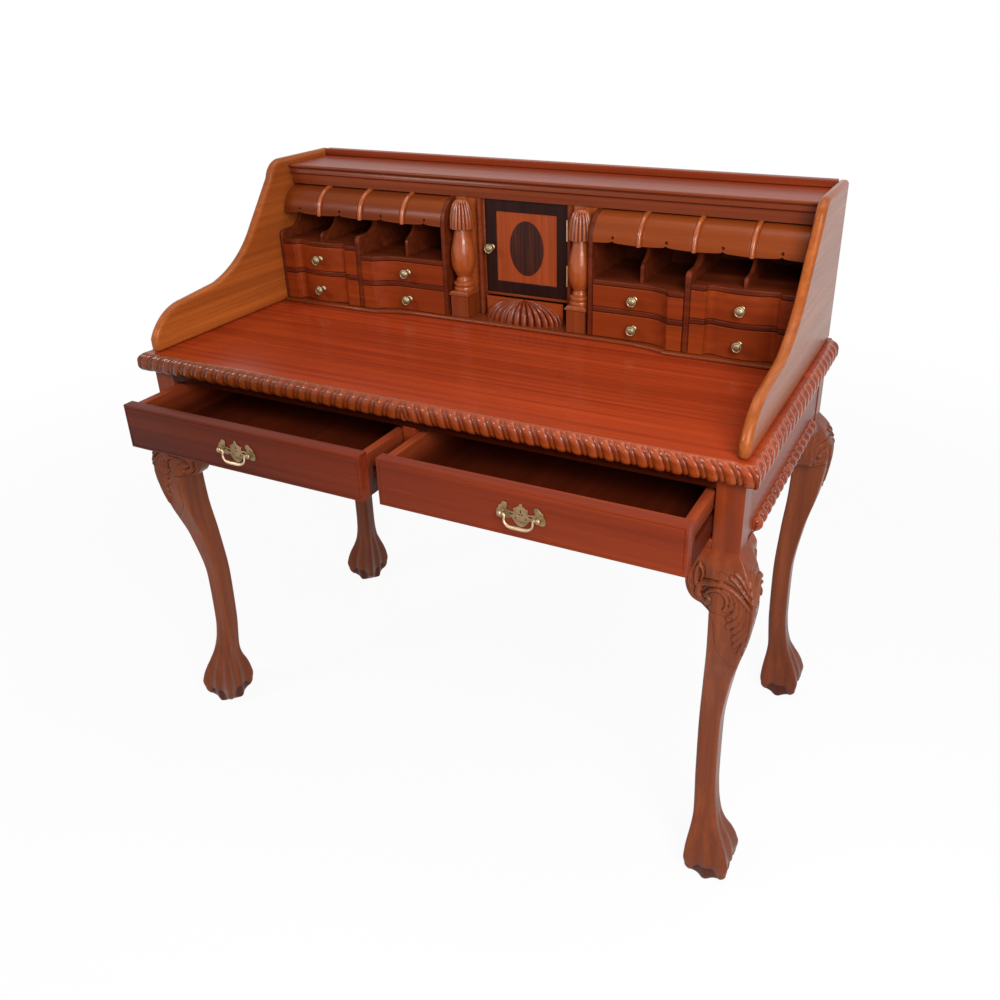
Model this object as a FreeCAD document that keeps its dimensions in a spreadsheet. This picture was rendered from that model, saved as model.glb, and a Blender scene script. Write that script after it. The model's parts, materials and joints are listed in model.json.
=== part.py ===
"""Writing desk with a stepped interior of pigeonholes and small drawers, on cabriole legs.

X runs to the user's right, Y away from the user and Z up. The origin lies on the floor, under the
middle of the desk as it stands with both long drawers partly drawn. Lengths are in millimetres.
"""
import FreeCAD, Part
import math
import os
import re
import Sketcher
from FreeCAD import Placement, Rotation, Vector

# ---------------------------------------------------------------- driving dimensions
SIZES = {
    # table frame
    "top_height": 780.0,            # floor to writing surface
    "carcass_width": 1074.0,        # over the outer faces of the posts
    "carcass_depth": 551.0,         # front to back over the posts
    "post_width": 41.0,
    "top_thick": 29.5,
    "frame_high": 113.5,            # aprons and posts, from the underside of the top
    "side_overhang": 20.5,          # top beyond the posts, each side
    "front_overhang": 17.5,
    "gadroon_width": 16.0,          # moulding glued round the edge of the top
    "gadroon_round": 11.0,
    "gadroon_back_gap": 6.0,        # side moulding stops this far before the back
    "apron_thick": 20.0,
    "apron_recess": 1.5,
    "apron_gadroon_high": 22.0,
    "apron_gadroon_proud": 12.0,
    "apron_gadroon_round": 10.0,
    "apron_gadroon_drop": 5.0,      # below the underside of the apron
    "top_rail_high": 18.0,
    "bottom_rail_high": 14.5,
    "rail_deep": 22.0,
    "stile_width": 23.0,
    "bearer_thick": 16.0,
    # cabriole legs: level (or drop below the aprons), width of the section and outward lean
    "sole_size": 56.0,
    "sole_lean": 14.5,
    "claw_level": 16.0,
    "claw_size": 73.0,
    "claw_lean": 15.5,
    "toe_level": 44.0,
    "toe_size": 75.0,
    "toe_lean": 15.0,
    "spread_level": 78.0,
    "spread_size": 63.0,
    "spread_lean": 11.5,
    "ankle_level": 125.0,
    "ankle_size": 41.0,
    "ankle_lean": 3.0,
    "shank_level": 200.0,
    "shank_size": 35.0,
    "shank_lean": -4.2,
    "shin_level": 300.0,
    "shin_size": 34.0,
    "shin_lean": -5.6,
    "calf_drop": 237.0,
    "calf_size": 41.0,
    "calf_lean": 2.2,
    "thigh_drop": 157.0,
    "thigh_size": 53.0,
    "thigh_lean": 13.5,
    "knee_drop": 58.0,
    "knee_size": 59.0,
    "knee_lean": 16.0,
    "fore_lean_less": 4.5,          # the legs lean this much less to the front and back
    "back_foot_share": 0.45,        # share of the sideways lean that a back foot takes rearwards
    "front_foot_share": 0.0,
    "leg_corner_share": 0.2,        # rounding of a leg's corners, by its width
    "foot_corner_share": 0.1,
    "post_round": 1.0,
    "bracket_width": 34.0,
    "bracket_high": 90.0,
    "bracket_toe": 8.0,
    "bracket_lip": 62.0,
    "bracket_round": 28.0,
    "bracket_thick": 28.0,
    "bracket_proud": 8.0,
    "bracket_gap": 0.5,
    # long drawers
    "drawer_gap": 1.6,              # round each front
    "left_pull": 117.0,             # how far each drawer stands drawn out
    "right_pull": 112.0,
    "front_thick": 20.0,
    "box_back_gap": 39.5,           # closed drawer box to the back apron
    "box_side_thick": 14.0,
    "box_back_thick": 12.0,
    "box_bottom_thick": 6.0,
    "box_bottom_rise": 6.0,
    "box_inset": 1.0,               # box narrower than its front, each side
    "box_top_drop": 6.0,
    "groove_high": 12.0,
    "groove_deep": 8.0,
    "groove_start": 15.0,           # behind the drawer front
    "runner_start": 1.0,            # behind the post
    "runner_clear": 0.5,
    # bail handles
    "plate_width": 78.0,
    "plate_high": 38.0,
    "plate_thick": 2.0,
    "post_span": 60.0,              # between the two handle posts
    "handle_post_radius": 3.4,
    "post_ball_radius": 4.8,
    "pivot_reach": 7.5,             # from the drawer front to the pivot
    "bail_radius": 1.9,
    "bail_drop": 16.5,
    "bail_lean": 4.0,               # lowest point before the pivots, at rest
    "bail_corner": 8.0,
    "bail_shoulder": 2.6,
    "bail_side_clear": 0.4,
    "pin_start": 0.5,               # bail end before the middle of its pivot ball
    "pivot_clear": 0.06,
    # upper carcass
    "side_thick": 17.0,
    "upper_height": 274.5,          # writing surface to the top of the gallery
    "upper_setback": 2.0,           # upper back edge before the back of the posts
    "foot_setback": 1.0,            # front foot of a side panel behind the post face
    "foot_rise": 24.0,
    "foot_round_deep": 83.0,
    "foot_round_high": 51.0,
    "foot_radius": 98.0,
    "step_length": 83.0,
    "step_rise": 8.5,
    "sweep_deep": 121.0,
    "sweep_high": 79.0,
    "sweep_radius": 210.0,
    "crest_front": 354.0,           # post face to the front of the panel's head
    "crest_neck_drop": 30.0,
    "crest_round": 38.0,
    "crest_radius": 42.0,
    "crest_back_round": 8.0,
    "shelf_front": 408.0,           # post face to the front of the cornice
    "shelf_drop": 13.0,             # gallery top to shelf
    "shelf_thick": 18.0,
    "cornice_deep": 8.0,
    "cornice_lip": 6.0,
    "cornice_foot": 2.0,
    "cornice_radius": 14.0,
    "frieze_high": 19.0,
    "frieze_deep": 12.0,
    "gallery_deep": 18.0,
    "upper_back_thick": 10.0,
    # plinth and bays, distances from the post face to each front line
    "fillet_front": 354.0,
    "recess_front": 375.0,
    "plinth_high": 7.0,
    "plinth_lip": 8.0,
    "wall_thick": 8.0,              # board between a column and its bay
    "wall_half": 152.0,             # desk centre to the bay side of that board
    "wall_front": 372.5,            # post face to its front edge
    "divider_centre": 330.7,
    "divider_thick": 10.6,
    "end_board_thick": 7.0,
    "end_board_clear": 1.5,
    "fillet_width": 26.0,
    "cove_size": 11.0,
    "swell_radius": 148.0,
    "scoop_start": 250.0,           # desk centre to where the inner fronts begin to swing forward
    "scoop_end": 298.0,
    "scoop_radius": 66.0,
    "plinth_scoop_start": 208.0,
    "plinth_scoop_radius": 204.0,
    "outer_low_high": 53.0,
    "outer_high_high": 48.5,
    "inner_low_high": 46.0,
    "inner_high_high": 39.5,
    "dust_board_thick": 9.0,
    "floor_thick": 8.5,
    "small_gap": 0.8,
    "small_front_thick": 13.0,
    "small_box_wall": 5.0,
    "small_box_bottom": 4.0,
    "small_box_drop": 4.0,
    "small_back_gap": 4.0,
    "inner_knob_shift": 7.5,        # knobs of the inner bays, towards the desk's centre
    "pigeon_thick": 6.0,
    "pigeon_setback": 13.0,
    "nose_share": 0.345,            # of the height from the outer floor to the valances
    "divider_nose_more": 3.0,
    "nose_round": 10.0,
    "ceiling_gap": 0.3,
    # valances
    "valance_radius": 47.0,
    "valance_thick": 8.0,
    "valance_axis": 420.0,          # post face to the axis of the quarter round
    "rib_radius": 3.8,
    "rib_spacing": 96.0,
    "dot_radius": 2.6,
    "dot_rise": 13.0,
    # centre: door, jambs and columns
    "door_half": 83.0,
    "door_rise": 51.5,              # writing surface to the door
    "door_front": 422.5,
    "door_thick": 15.0,
    "door_clear": 1.0,
    "door_border": 21.5,
    "panel_recess": 2.0,
    "panel_thick": 8.0,
    "rabbet_width": 5.0,
    "rabbet_clear": 0.3,
    "oval_half_width": 34.0,
    "oval_half_high": 50.0,
    "oval_thick": 1.5,
    "jamb_thick": 11.0,
    "bead_width": 9.2,
    "bead_proud": 13.0,
    "sill_high": 5.0,
    "sill_proud": 3.0,
    "shell_half": 79.0,
    "shell_deep": 41.0,
    "shell_high": 38.0,
    "shell_setback": 9.5,           # back of the shell before the door
    "column_clear": 0.8,            # each side of a column slide
    "column_back_front": 419.0,     # post face to the front of its backing board
    "column_back_thick": 8.0,
    "column_air": 0.3,
    "block_width": 36.0,
    "block_high": 40.0,
    "block_reach": 22.0,            # block front before the column axis
    "cap_high": 9.0,
    "cap_proud": 2.6,
    "ring_radius": 20.0,
    "ring_high": 22.0,
    "vase_share": 0.339,            # of the turned column's height
    "bell_share": 0.7016,
    "neck_radius": 11.0,
    "vase_radius": 21.3,
    "bell_radius": 21.5,
    "column_box_gap": 12.0,         # between a slide's box and the back
    # brass knobs and door hinges
    "knob_radius": 9.0,
    "knob_length": 19.0,
    "knob_stem_radius": 3.6,
    "knob_base_radius": 6.0,
    "knob_inset": 12.0,             # door knob from the door's left edge
    "knob_drop": 2.5,
    "leaf_thick": 0.8,
    "leaf_deep": 11.0,
    "leaf_high": 38.0,
    "leaf_clear": 0.2,
    "knuckle_radius": 2.2,
    "knuckle_clear": 0.15,
    "hinge_pin_radius": 1.1,
    "pin_clear": 0.05,
    "hinge_inset": 26.0,            # door edge to the near end of a hinge
}

# ---------------------------------------------------------------- lines worked out from them
LINES = {
    "half_width": "carcass_width / 2",
    "half_top": "half_width + side_overhang",
    "front_reach": "max(left_pull; right_pull) + pivot_reach + bail_lean + bail_radius",
    "foot_over": "toe_lean * back_foot_share + toe_size / 2 - post_width / 2",
    "face_y": "(front_reach - carcass_depth - foot_over) / 2",
    "back_y": "face_y + carcass_depth",
    "post_x": "half_width - post_width / 2",
    "post_inner": "half_width - post_width",
    "top_under": "top_height - top_thick",
    "carcass_bottom": "top_under - frame_high",
    "calf_level": "carcass_bottom - calf_drop",
    "thigh_level": "carcass_bottom - thigh_drop",
    "knee_level": "carcass_bottom - knee_drop",
    "opening_top": "top_under - top_rail_high",
    "opening_bottom": "carcass_bottom + bottom_rail_high",
    "opening_mid": "(opening_top + opening_bottom) / 2",
    "apron_outer": "half_width - apron_recess",
    "apron_inner": "apron_outer - apron_thick",
    "back_apron_y": "back_y - apron_recess - apron_thick",
    "gadroon_stop": "post_width + bracket_gap + bracket_width + bracket_gap",
    "long_front_x": "stile_width / 2 + drawer_gap",
    "long_front_width": "post_inner - drawer_gap - long_front_x",
    "long_front_high": "opening_top - opening_bottom - 2 * drawer_gap",
    "box_high": "long_front_high - box_top_drop",
    "box_length": "back_apron_y - face_y - front_thick - box_back_gap",
    "box_inner": "long_front_x + box_inset",
    "box_outer": "long_front_x + long_front_width - box_inset",
    "handle_x": "long_front_x + long_front_width / 2",
    "handle_z": "opening_mid",
    "bail_half": "post_span / 2 - post_ball_radius - bail_shoulder - bail_side_clear",
    "upper_back_y": "back_y - upper_setback",
    "inner_back_y": "upper_back_y - upper_back_thick",
    "side_inner": "half_width - side_thick",
    "crown": "top_height + upper_height",
    "shelf_top": "crown - shelf_drop",
    "ceiling": "shelf_top - shelf_thick",
    "shelf_y": "face_y + shelf_front",
    "frieze_y": "shelf_y + cornice_deep",
    "frieze_bottom": "ceiling - frieze_high",
    "plinth_top": "top_height + plinth_high",
    "fillet_y": "face_y + fillet_front",
    "recess_y": "face_y + recess_front",
    "wall_y": "face_y + wall_front",
    "wall_inner": "wall_half - wall_thick",
    "divider_inner": "divider_centre - divider_thick / 2",
    "divider_outer": "divider_centre + divider_thick / 2",
    "bay_end": "side_inner - end_board_clear - end_board_thick",
    "outer_floor": "plinth_top + outer_low_high + dust_board_thick + outer_high_high + floor_thick",
    "inner_floor": "plinth_top + inner_low_high + dust_board_thick + inner_high_high + floor_thick",
    "swell_half": "(bay_end - divider_outer) / 2 - fillet_width - cove_size",
    "swell_y": "fillet_y + cove_size - swell_radius + sqrt(swell_radius ^ 2 - swell_half ^ 2)",
    "valance_y": "face_y + valance_axis",
    "valance_z": "frieze_bottom - ceiling_gap - valance_radius - rib_radius / 2",
    "pigeon_nose_level": "outer_floor + nose_share * (valance_z - outer_floor)",
    "divider_nose_level": "pigeon_nose_level + divider_nose_more",
    "valance_centre": "(wall_half + bay_end) / 2",
    "door_y": "face_y + door_front",
    "door_bottom": "top_height + door_rise",
    "door_high": "frieze_bottom - door_clear - door_bottom",
    "door_centre_z": "door_bottom + door_high / 2",
    "jamb_inner": "door_half + 2 * leaf_thick + 2 * leaf_clear",
    "jamb_outer": "jamb_inner + jamb_thick",
    "pivot_x": "(door_half + jamb_inner) / 2",
    "pivot_y": "door_y - knuckle_radius - knuckle_clear",
    "column_x": "(jamb_outer + wall_inner) / 2",
    "column_half": "(wall_inner - jamb_outer) / 2 - column_clear",
    "column_back_y": "face_y + column_back_front",
    "column_y": "column_back_y - bell_radius - column_air",
    "column_box_y": "column_back_y + column_back_thick",
    "column_box_deep": "inner_back_y - column_box_gap - column_box_y",
    "column_foot": "plinth_top + block_high + cap_high",
    "column_head": "frieze_bottom - ceiling_gap",
    "column_tall": "column_head - column_foot",
    "vase_level": "column_tall * vase_share",
    "bell_level": "column_tall * bell_share",
}

doc = FreeCAD.newDocument("WritingDesk")
sheet = doc.addObject("Spreadsheet::Sheet", "Sizes")
for row, (alias, value) in enumerate(SIZES.items(), start=1):
    sheet.set(f"A{row}", alias)
    sheet.set(f"B{row}", str(value))
    sheet.setAlias(f"B{row}", alias)
doc.recompute()
lines = doc.addObject("App::VarSet", "Lines")

WORD = re.compile(r"[a-z_][a-z_0-9]*")
nodes = {}


def formula(text):
    """The expression with each size and line led by the name of its table."""
    def lead(match):
        word = match.group()
        if word in SIZES:
            return "Sizes." + word
        if word in LINES:
            return "Lines." + word
        return word
    return WORD.sub(lead, str(text))


for name, text in LINES.items():
    lines.addProperty("App::PropertyFloat", name)
    lines.setExpression(name, formula(text))
doc.recompute()


def number(text):
    """The present value of an expression."""
    value = sheet.evalExpression(formula(text))
    return float(getattr(value, "Value", value))


# ---------------------------------------------------------------- ways of making a piece
def bind(item, **expressions):
    """Ties properties of an object to expressions."""
    for prop, text in expressions.items():
        item.setExpression(prop, formula(text))
    return item


def place(item, x, y, z):
    """Ties the corner or origin of an object to a point."""
    for axis, text in zip("xyz", (x, y, z)):
        item.setExpression("Placement.Base." + axis, formula(text))
    return item


def keep(item, label):
    """Makes an object one of the desk's sub-parts."""
    item.Label = label
    nodes[label] = item
    return item


def box(wide, deep, high, x, y, z):
    """A rectangular board by its size and its low corner."""
    item = doc.addObject("Part::Box", "Board")
    bind(item, Length=wide, Width=deep, Height=high)
    return place(item, x, y, z)


TURNS = {
    "x": Rotation(Vector(0, 1, 0), 90),
    "y": Rotation(Vector(1, 0, 0), -90),
    "z": Rotation(),
}


def rod(radius, length, x, y, z, along="z"):
    """A round bar that starts at a point and runs along an axis."""
    item = doc.addObject("Part::Cylinder", "Rod")
    item.Placement = Placement(Vector(), TURNS[along])
    bind(item, Radius=radius, Height=length)
    return place(item, x, y, z)


def ball(radius, x, y, z):
    """A sphere about a point."""
    item = doc.addObject("Part::Sphere", "Ball")
    bind(item, Radius=radius)
    return place(item, x, y, z)


def cut(base, tool):
    """One shape less another."""
    item = doc.addObject("Part::Cut", "Cut")
    item.Base = base
    item.Tool = tool
    return item


def common(base, tool):
    """What two shapes share."""
    item = doc.addObject("Part::Common", "Common")
    item.Base = base
    item.Tool = tool
    return item


def fuse(*items):
    """Several shapes as one solid."""
    item = doc.addObject("Part::MultiFuse", "Joined")
    item.Shapes = list(items)
    return item


def group(*items):
    """Several separate solids that share one sub-part."""
    item = doc.addObject("Part::Compound", "Set")
    item.Links = list(items)
    return item


def mirror(item):
    """The same piece on the other side of the desk's centre plane."""
    copy = doc.addObject("Part::Mirroring", "Mirror")
    copy.Source = item
    copy.Normal = Vector(1, 0, 0)
    return copy


def pair(item):
    """A piece and its mirror image as two solids."""
    return group(item, mirror(item))


def draw(body, plane, points, name="Outline"):
    """A closed sketch through points (x, y) or (x, y, radius, side).

    With a radius, the run that arrives at the point is an arc: side 1 turns anticlockwise and
    side -1 clockwise.
    """
    sketch = body.newObject("Sketcher::SketchObject", name)
    support = [item for item in body.Origin.OriginFeatures if item.Role == plane][0]
    sketch.AttachmentSupport = (support, [""])
    sketch.MapMode = "FlatFace"
    spots = [Vector(number(point[0]), number(point[1]), 0) for point in points]
    ends = []
    for index, point in enumerate(points):
        start, stop = spots[index - 1], spots[index]
        if len(point) == 2:
            geo = sketch.addGeometry(Part.LineSegment(start, stop), False)
            ends.append((geo, 1, 2))
            continue
        radius, side = number(point[2]), point[3]
        chord = stop - start
        rise = math.sqrt(max(radius ** 2 - chord.Length ** 2 / 4, 0.0))
        left = Vector(-chord.y, chord.x, 0).normalize()
        centre = start + chord * 0.5 + left * (rise * side)
        first, last = (start, stop) if side > 0 else (stop, start)
        angles = [math.atan2(spot.y - centre.y, spot.x - centre.x) for spot in (first, last)]
        circle = Part.Circle(centre, Vector(0, 0, 1), radius)
        geo = sketch.addGeometry(Part.ArcOfCircle(circle, *angles), False)
        ends.append((geo, 1, 2) if side > 0 else (geo, 2, 1))
        place_constraint(sketch, Sketcher.Constraint("Radius", geo, radius), point[2])
    for index, (geo, _, last) in enumerate(ends):
        after, first, _ = ends[(index + 1) % len(ends)]
        sketch.addConstraint(Sketcher.Constraint("Coincident", geo, last, after, first))
        spot = spots[index]
        for kind, value, text in (("DistanceX", spot.x, points[index][0]),
                                  ("DistanceY", spot.y, points[index][1])):
            constraint = Sketcher.Constraint(kind, -1, 1, geo, last, value)
            place_constraint(sketch, constraint, text)
    return sketch


def place_constraint(sketch, constraint, text):
    """Adds a constraint whose value follows an expression."""
    index = sketch.addConstraint(constraint)
    sketch.setExpression(f"Constraints[{index}]", formula(text))


def pad(plane, points, length, x="0", y="0", z="0", reverse=False):
    """A flat outline given thickness. A sketch on XZ grows towards -Y unless reversed."""
    body = doc.addObject("PartDesign::Body", "Body")
    sketch = draw(body, plane, points)
    solid = body.newObject("PartDesign::Pad", "Pad")
    solid.Profile = sketch
    solid.Reversed = reverse
    bind(solid, Length=length)
    return place(body, x, y, z)


def turn(plane, points, axis, x, y, z):
    """An outline spun round one of its sketch's axes."""
    body = doc.addObject("PartDesign::Body", "Body")
    sketch = draw(body, plane, points)
    solid = body.newObject("PartDesign::Revolution", "Revolution")
    solid.Profile = sketch
    solid.ReferenceAxis = (sketch, [axis])
    solid.Angle = 360.0
    return place(body, x, y, z)


def turned(radii, x, y, z, forward=False):
    """A turned piece from (radius, distance, ...) points, upright or pointing towards the user."""
    if forward:
        points = [(r, f"-({d})", *arc) for r, d, *arc in radii]
        return turn("XY_Plane", points, "V_Axis", x, y, z)
    return turn("XZ_Plane", [(r, d, *arc) for r, d, *arc in radii], "V_Axis", x, y, z)


# ---------------------------------------------------------------- legs and brackets
SECTIONS = ("sole", "claw", "toe", "spread", "ankle", "shank", "shin", "calf", "thigh", "knee")
FOOT_SECTIONS = ("sole", "claw", "toe", "spread")


def rounded_square(x, y, half, corner):
    """The outline of a square with rounded corners about a centre."""
    near = f"{half} - {corner}"
    return [
        (f"{x} + {near}", f"{y} - {half}"),
        (f"{x} + {half}", f"{y} - ({near})", corner, 1),
        (f"{x} + {half}", f"{y} + {near}"),
        (f"{x} + {near}", f"{y} + {half}", corner, 1),
        (f"{x} - ({near})", f"{y} + {half}"),
        (f"{x} - {half}", f"{y} + {near}", corner, 1),
        (f"{x} - {half}", f"{y} - ({near})"),
        (f"{x} - ({near})", f"{y} - {half}", corner, 1),
    ]


def leg(label, side, end):
    """A cabriole leg in one piece with its post. side is 1 on the right, end is 1 at the back."""
    body = doc.addObject("PartDesign::Body", "Leg")
    share = "back_foot_share" if end > 0 else "front_foot_share"
    levels = [("0", "sole_size", "sole_lean", "sole")]
    levels += [(f"{name}_level", f"{name}_size", f"{name}_lean", name) for name in SECTIONS[1:]]
    levels.append(("carcass_bottom", "post_width", "0", "post"))
    sketches = []
    for level, size, lean, name in levels:
        foot = name in FOOT_SECTIONS
        lean_y = f"{lean} * {share}" if foot else f"{lean} - fore_lean_less"
        corner = f"foot_corner_share * {size}" if foot else f"leg_corner_share * {size}"
        if name == "post":
            lean_y, corner = "0", "post_round"
        corners = rounded_square(f"{side} * ({lean})", f"{end} * ({lean_y})", f"{size} / 2", corner)
        sketch = draw(body, "XY_Plane", corners, "Section")
        sketch.setExpression("AttachmentOffset.Base.z", formula(level))
        sketches.append(sketch)
    top_of_foot = len(FOOT_SECTIONS) - 1
    for run, ruled in ((sketches[:top_of_foot + 1], True), (sketches[top_of_foot:], False)):
        loft = body.newObject("PartDesign::AdditiveLoft", "Loft")
        loft.Profile = run[0]
        loft.Sections = run[1:]
        loft.Ruled = ruled
    post = body.newObject("PartDesign::Pad", "Post")
    post.Profile = sketches[-1]
    bind(post, Length="frame_high")
    face = "back_y - post_width / 2" if end > 0 else "face_y + post_width / 2"
    place(body, f"{side} * post_x", face, "0")
    return keep(body, label)


leg("leg_front_left", -1, -1)
leg("leg_front_right", 1, -1)
leg("leg_back_left", -1, 1)
leg("leg_back_right", 1, 1)


def bracket_outline(start, way):
    """The outline of a knee bracket that begins at start and runs inwards."""
    far = f"{start} + {way} * bracket_width"
    low = f"{start} + {way} * bracket_toe"
    return [
        (start, "carcass_bottom"),
        (start, "carcass_bottom - bracket_high"),
        (low, "carcass_bottom - bracket_high"),
        (far, "carcass_bottom - bracket_lip", "bracket_round", way),
        (far, "carcass_bottom"),
    ]


bracket_x = "post_inner - bracket_gap"
front_bracket = pad("XZ_Plane", bracket_outline(bracket_x, -1), "bracket_thick",
                    y="face_y - bracket_proud", reverse=True)
back_bracket = pad("XZ_Plane", bracket_outline(bracket_x, -1), "bracket_thick",
                   y="back_y + bracket_proud")
side_front = pad("YZ_Plane", bracket_outline("face_y + post_width + bracket_gap", 1), "bracket_thick",
                 x="half_width + bracket_proud - bracket_thick")
side_back = pad("YZ_Plane", bracket_outline("back_y - post_width - bracket_gap", -1), "bracket_thick",
                x="half_width + bracket_proud - bracket_thick")
brackets = [front_bracket, back_bracket, side_front, side_back]
keep(group(*brackets, *[mirror(item) for item in brackets]), "knee_brackets")

# ---------------------------------------------------------------- aprons, rails and runners
apron = box("apron_thick", "carcass_depth - 2 * post_width", "frame_high",
            "apron_inner", "face_y + post_width", "carcass_bottom")
keep(pair(apron), "side_aprons")
keep(box("2 * post_inner", "apron_thick", "frame_high",
         "-post_inner", "back_apron_y", "carcass_bottom"), "back_apron")

gadroon_low = "carcass_bottom - apron_gadroon_drop"
apron_gadroon = pad("XZ_Plane", [
    ("apron_outer", gadroon_low),
    ("apron_outer + apron_gadroon_proud - apron_gadroon_round", gadroon_low),
    ("apron_outer + apron_gadroon_proud", f"{gadroon_low} + apron_gadroon_round", "apron_gadroon_round", 1),
    ("apron_outer + apron_gadroon_proud", f"{gadroon_low} + apron_gadroon_high - 2"),
    ("apron_outer", f"{gadroon_low} + apron_gadroon_high"),
], "carcass_depth - 2 * gadroon_stop", y="face_y + gadroon_stop", reverse=True)
keep(pair(apron_gadroon), "apron_gadroons")

keep(group(
    box("2 * post_inner", "rail_deep", "top_rail_high", "-post_inner", "face_y", "opening_top"),
    box("2 * post_inner", "rail_deep", "bottom_rail_high", "-post_inner", "face_y", "carcass_bottom"),
), "front_rails")
keep(group(
    box("stile_width", "rail_deep", "opening_top - opening_bottom",
        "-stile_width / 2", "face_y", "opening_bottom"),
    box("bearer_thick", "back_apron_y - face_y - rail_deep", "frame_high",
        "-bearer_thick / 2", "face_y + rail_deep", "carcass_bottom"),
), "centre_stile")

runner_y = "face_y + post_width + runner_start"
runner_length = "carcass_depth - 2 * post_width - 2 * runner_start"
runner_z = "opening_mid - groove_high / 2 + runner_clear"
runner_high = "groove_high - 2 * runner_clear"
outer_runner = box("apron_inner - box_outer + groove_deep - runner_clear", runner_length, runner_high,
                   "box_outer - groove_deep + runner_clear", runner_y, runner_z)
inner_runner = box("box_inner + groove_deep - runner_clear - bearer_thick / 2", runner_length, runner_high,
                   "bearer_thick / 2", runner_y, runner_z)
keep(group(outer_runner, inner_runner, mirror(outer_runner), mirror(inner_runner)), "drawer_runners")

# ---------------------------------------------------------------- writing top
top_front = "face_y - front_overhang"
keep(box("2 * (half_top - gadroon_width)", f"back_y - ({top_front}) - gadroon_width", "top_thick",
         "gadroon_width - half_top", f"{top_front} + gadroon_width", "top_under"), "writing_top")


def round_strip(plane, outer, way, length, **spot):
    """A length of the moulding round the top, with both outer edges rounded."""
    inner = f"{outer} - {way} * gadroon_width"
    shoulder = f"{outer} - {way} * gadroon_round"
    outline = [
        (inner, "top_under"),
        (shoulder, "top_under"),
        (outer, "top_under + gadroon_round", "gadroon_round", way),
        (outer, "top_height - gadroon_round"),
        (shoulder, "top_height", "gadroon_round", way),
        (inner, "top_height"),
    ]
    return pad(plane, outline, length, **spot)


front_strip = round_strip("YZ_Plane", top_front, -1, "2 * half_top", x="-half_top")
front_mitre = pad("XY_Plane", [
    ("-half_top", top_front),
    ("half_top", top_front),
    ("half_top - gadroon_width", f"{top_front} + gadroon_width"),
    ("gadroon_width - half_top", f"{top_front} + gadroon_width"),
], "top_height")
side_end = "back_y - gadroon_back_gap"
side_strip = round_strip("XZ_Plane", "half_top", 1, f"{side_end} - ({top_front})", y=top_front, reverse=True)
side_mitre = pad("XY_Plane", [
    ("half_top", top_front),
    ("half_top", side_end),
    ("half_top - gadroon_width", side_end),
    ("half_top - gadroon_width", f"{top_front} + gadroon_width"),
], "top_height")
side_moulding = common(side_strip, side_mitre)
keep(group(common(front_strip, front_mitre), side_moulding, mirror(side_moulding)), "top_gadroon")

# ---------------------------------------------------------------- upper carcass
foot_y = "face_y + foot_setback"
head_y = "face_y + crest_front"
side_outline = [
    ("upper_back_y", "top_height"),
    ("upper_back_y", "crown - crest_back_round"),
    ("upper_back_y - crest_back_round", "crown", "crest_back_round", 1),
    (f"{head_y} + crest_round", "crown"),
    (head_y, "crown - crest_neck_drop", "crest_radius", 1),
    (f"{foot_y} + foot_round_deep + step_length + sweep_deep",
     "top_height + foot_rise + foot_round_high + step_rise + sweep_high"),
    (f"{foot_y} + foot_round_deep + step_length",
     "top_height + foot_rise + foot_round_high + step_rise", "sweep_radius", -1),
    (f"{foot_y} + foot_round_deep", "top_height + foot_rise + foot_round_high"),
    (foot_y, "top_height + foot_rise", "foot_radius", 1),
    (foot_y, "top_height"),
]
for label, low_x in (("upper_side_left", "-half_width"), ("upper_side_right", "side_inner")):
    keep(pad("YZ_Plane", side_outline, "side_thick", x=low_x), label)

upper_width = "2 * side_inner"
keep(box(upper_width, "upper_back_thick", "ceiling - top_height", "-side_inner", "inner_back_y", "top_height"),
     "upper_back")
keep(box(upper_width, "gallery_deep", "shelf_drop", "-side_inner", "upper_back_y - gallery_deep", "shelf_top"),
     "gallery_rail")
keep(box(upper_width, "upper_back_y - frieze_y", "shelf_thick", "-side_inner", "frieze_y", "ceiling"),
     "top_shelf")

cornice = pad("YZ_Plane", [
    ("frieze_y", "ceiling"),
    ("frieze_y", "shelf_top"),
    ("shelf_y", "shelf_top"),
    ("shelf_y", "shelf_top - cornice_lip"),
    ("frieze_y - cornice_foot", "ceiling", "cornice_radius", -1),
], upper_width, x="-side_inner")
frieze = box(upper_width, "frieze_deep", "frieze_high", "-side_inner", "frieze_y", "frieze_bottom")
keep(group(cornice, frieze), "cornice")

# ---------------------------------------------------------------- valances
valance_width = "bay_end - wall_half - 2 * ceiling_gap"
valance_shell = pad("YZ_Plane", [
    ("valance_y", "valance_z + valance_radius"),
    ("valance_y - valance_radius", "valance_z", "valance_radius", 1),
    ("valance_y - valance_radius + valance_thick", "valance_z"),
    ("valance_y", "valance_z + valance_radius - valance_thick", "valance_radius - valance_thick", -1),
], valance_width, x="wall_half + ceiling_gap")
RIB_TURN = Rotation(Vector(0, -1, 0), Vector(0, 0, 1), Vector(-1, 0, 0), "XYZ")


def rib(steps):
    """A half-round rib over the valance, a number of spacings from its middle."""
    item = doc.addObject("Part::Torus", "Rib")
    item.Placement = Placement(Vector(), RIB_TURN)
    item.Angle3 = 90.0
    bind(item, Radius1="valance_radius - rib_radius / 2", Radius2="rib_radius")
    return place(item, f"valance_centre + {steps} * rib_spacing", "valance_y", "valance_z")


dots = [rod("dot_radius", "valance_radius", f"valance_centre + {steps} * rib_spacing",
            "valance_y - valance_radius - 1", "valance_z + dot_rise", "y")
        for steps in (-1.5, -0.5, 0.5, 1.5)]
valance = cut(fuse(valance_shell, rib(-1), rib(0), rib(1)), group(*dots))
keep(pair(valance), "valances")

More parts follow.
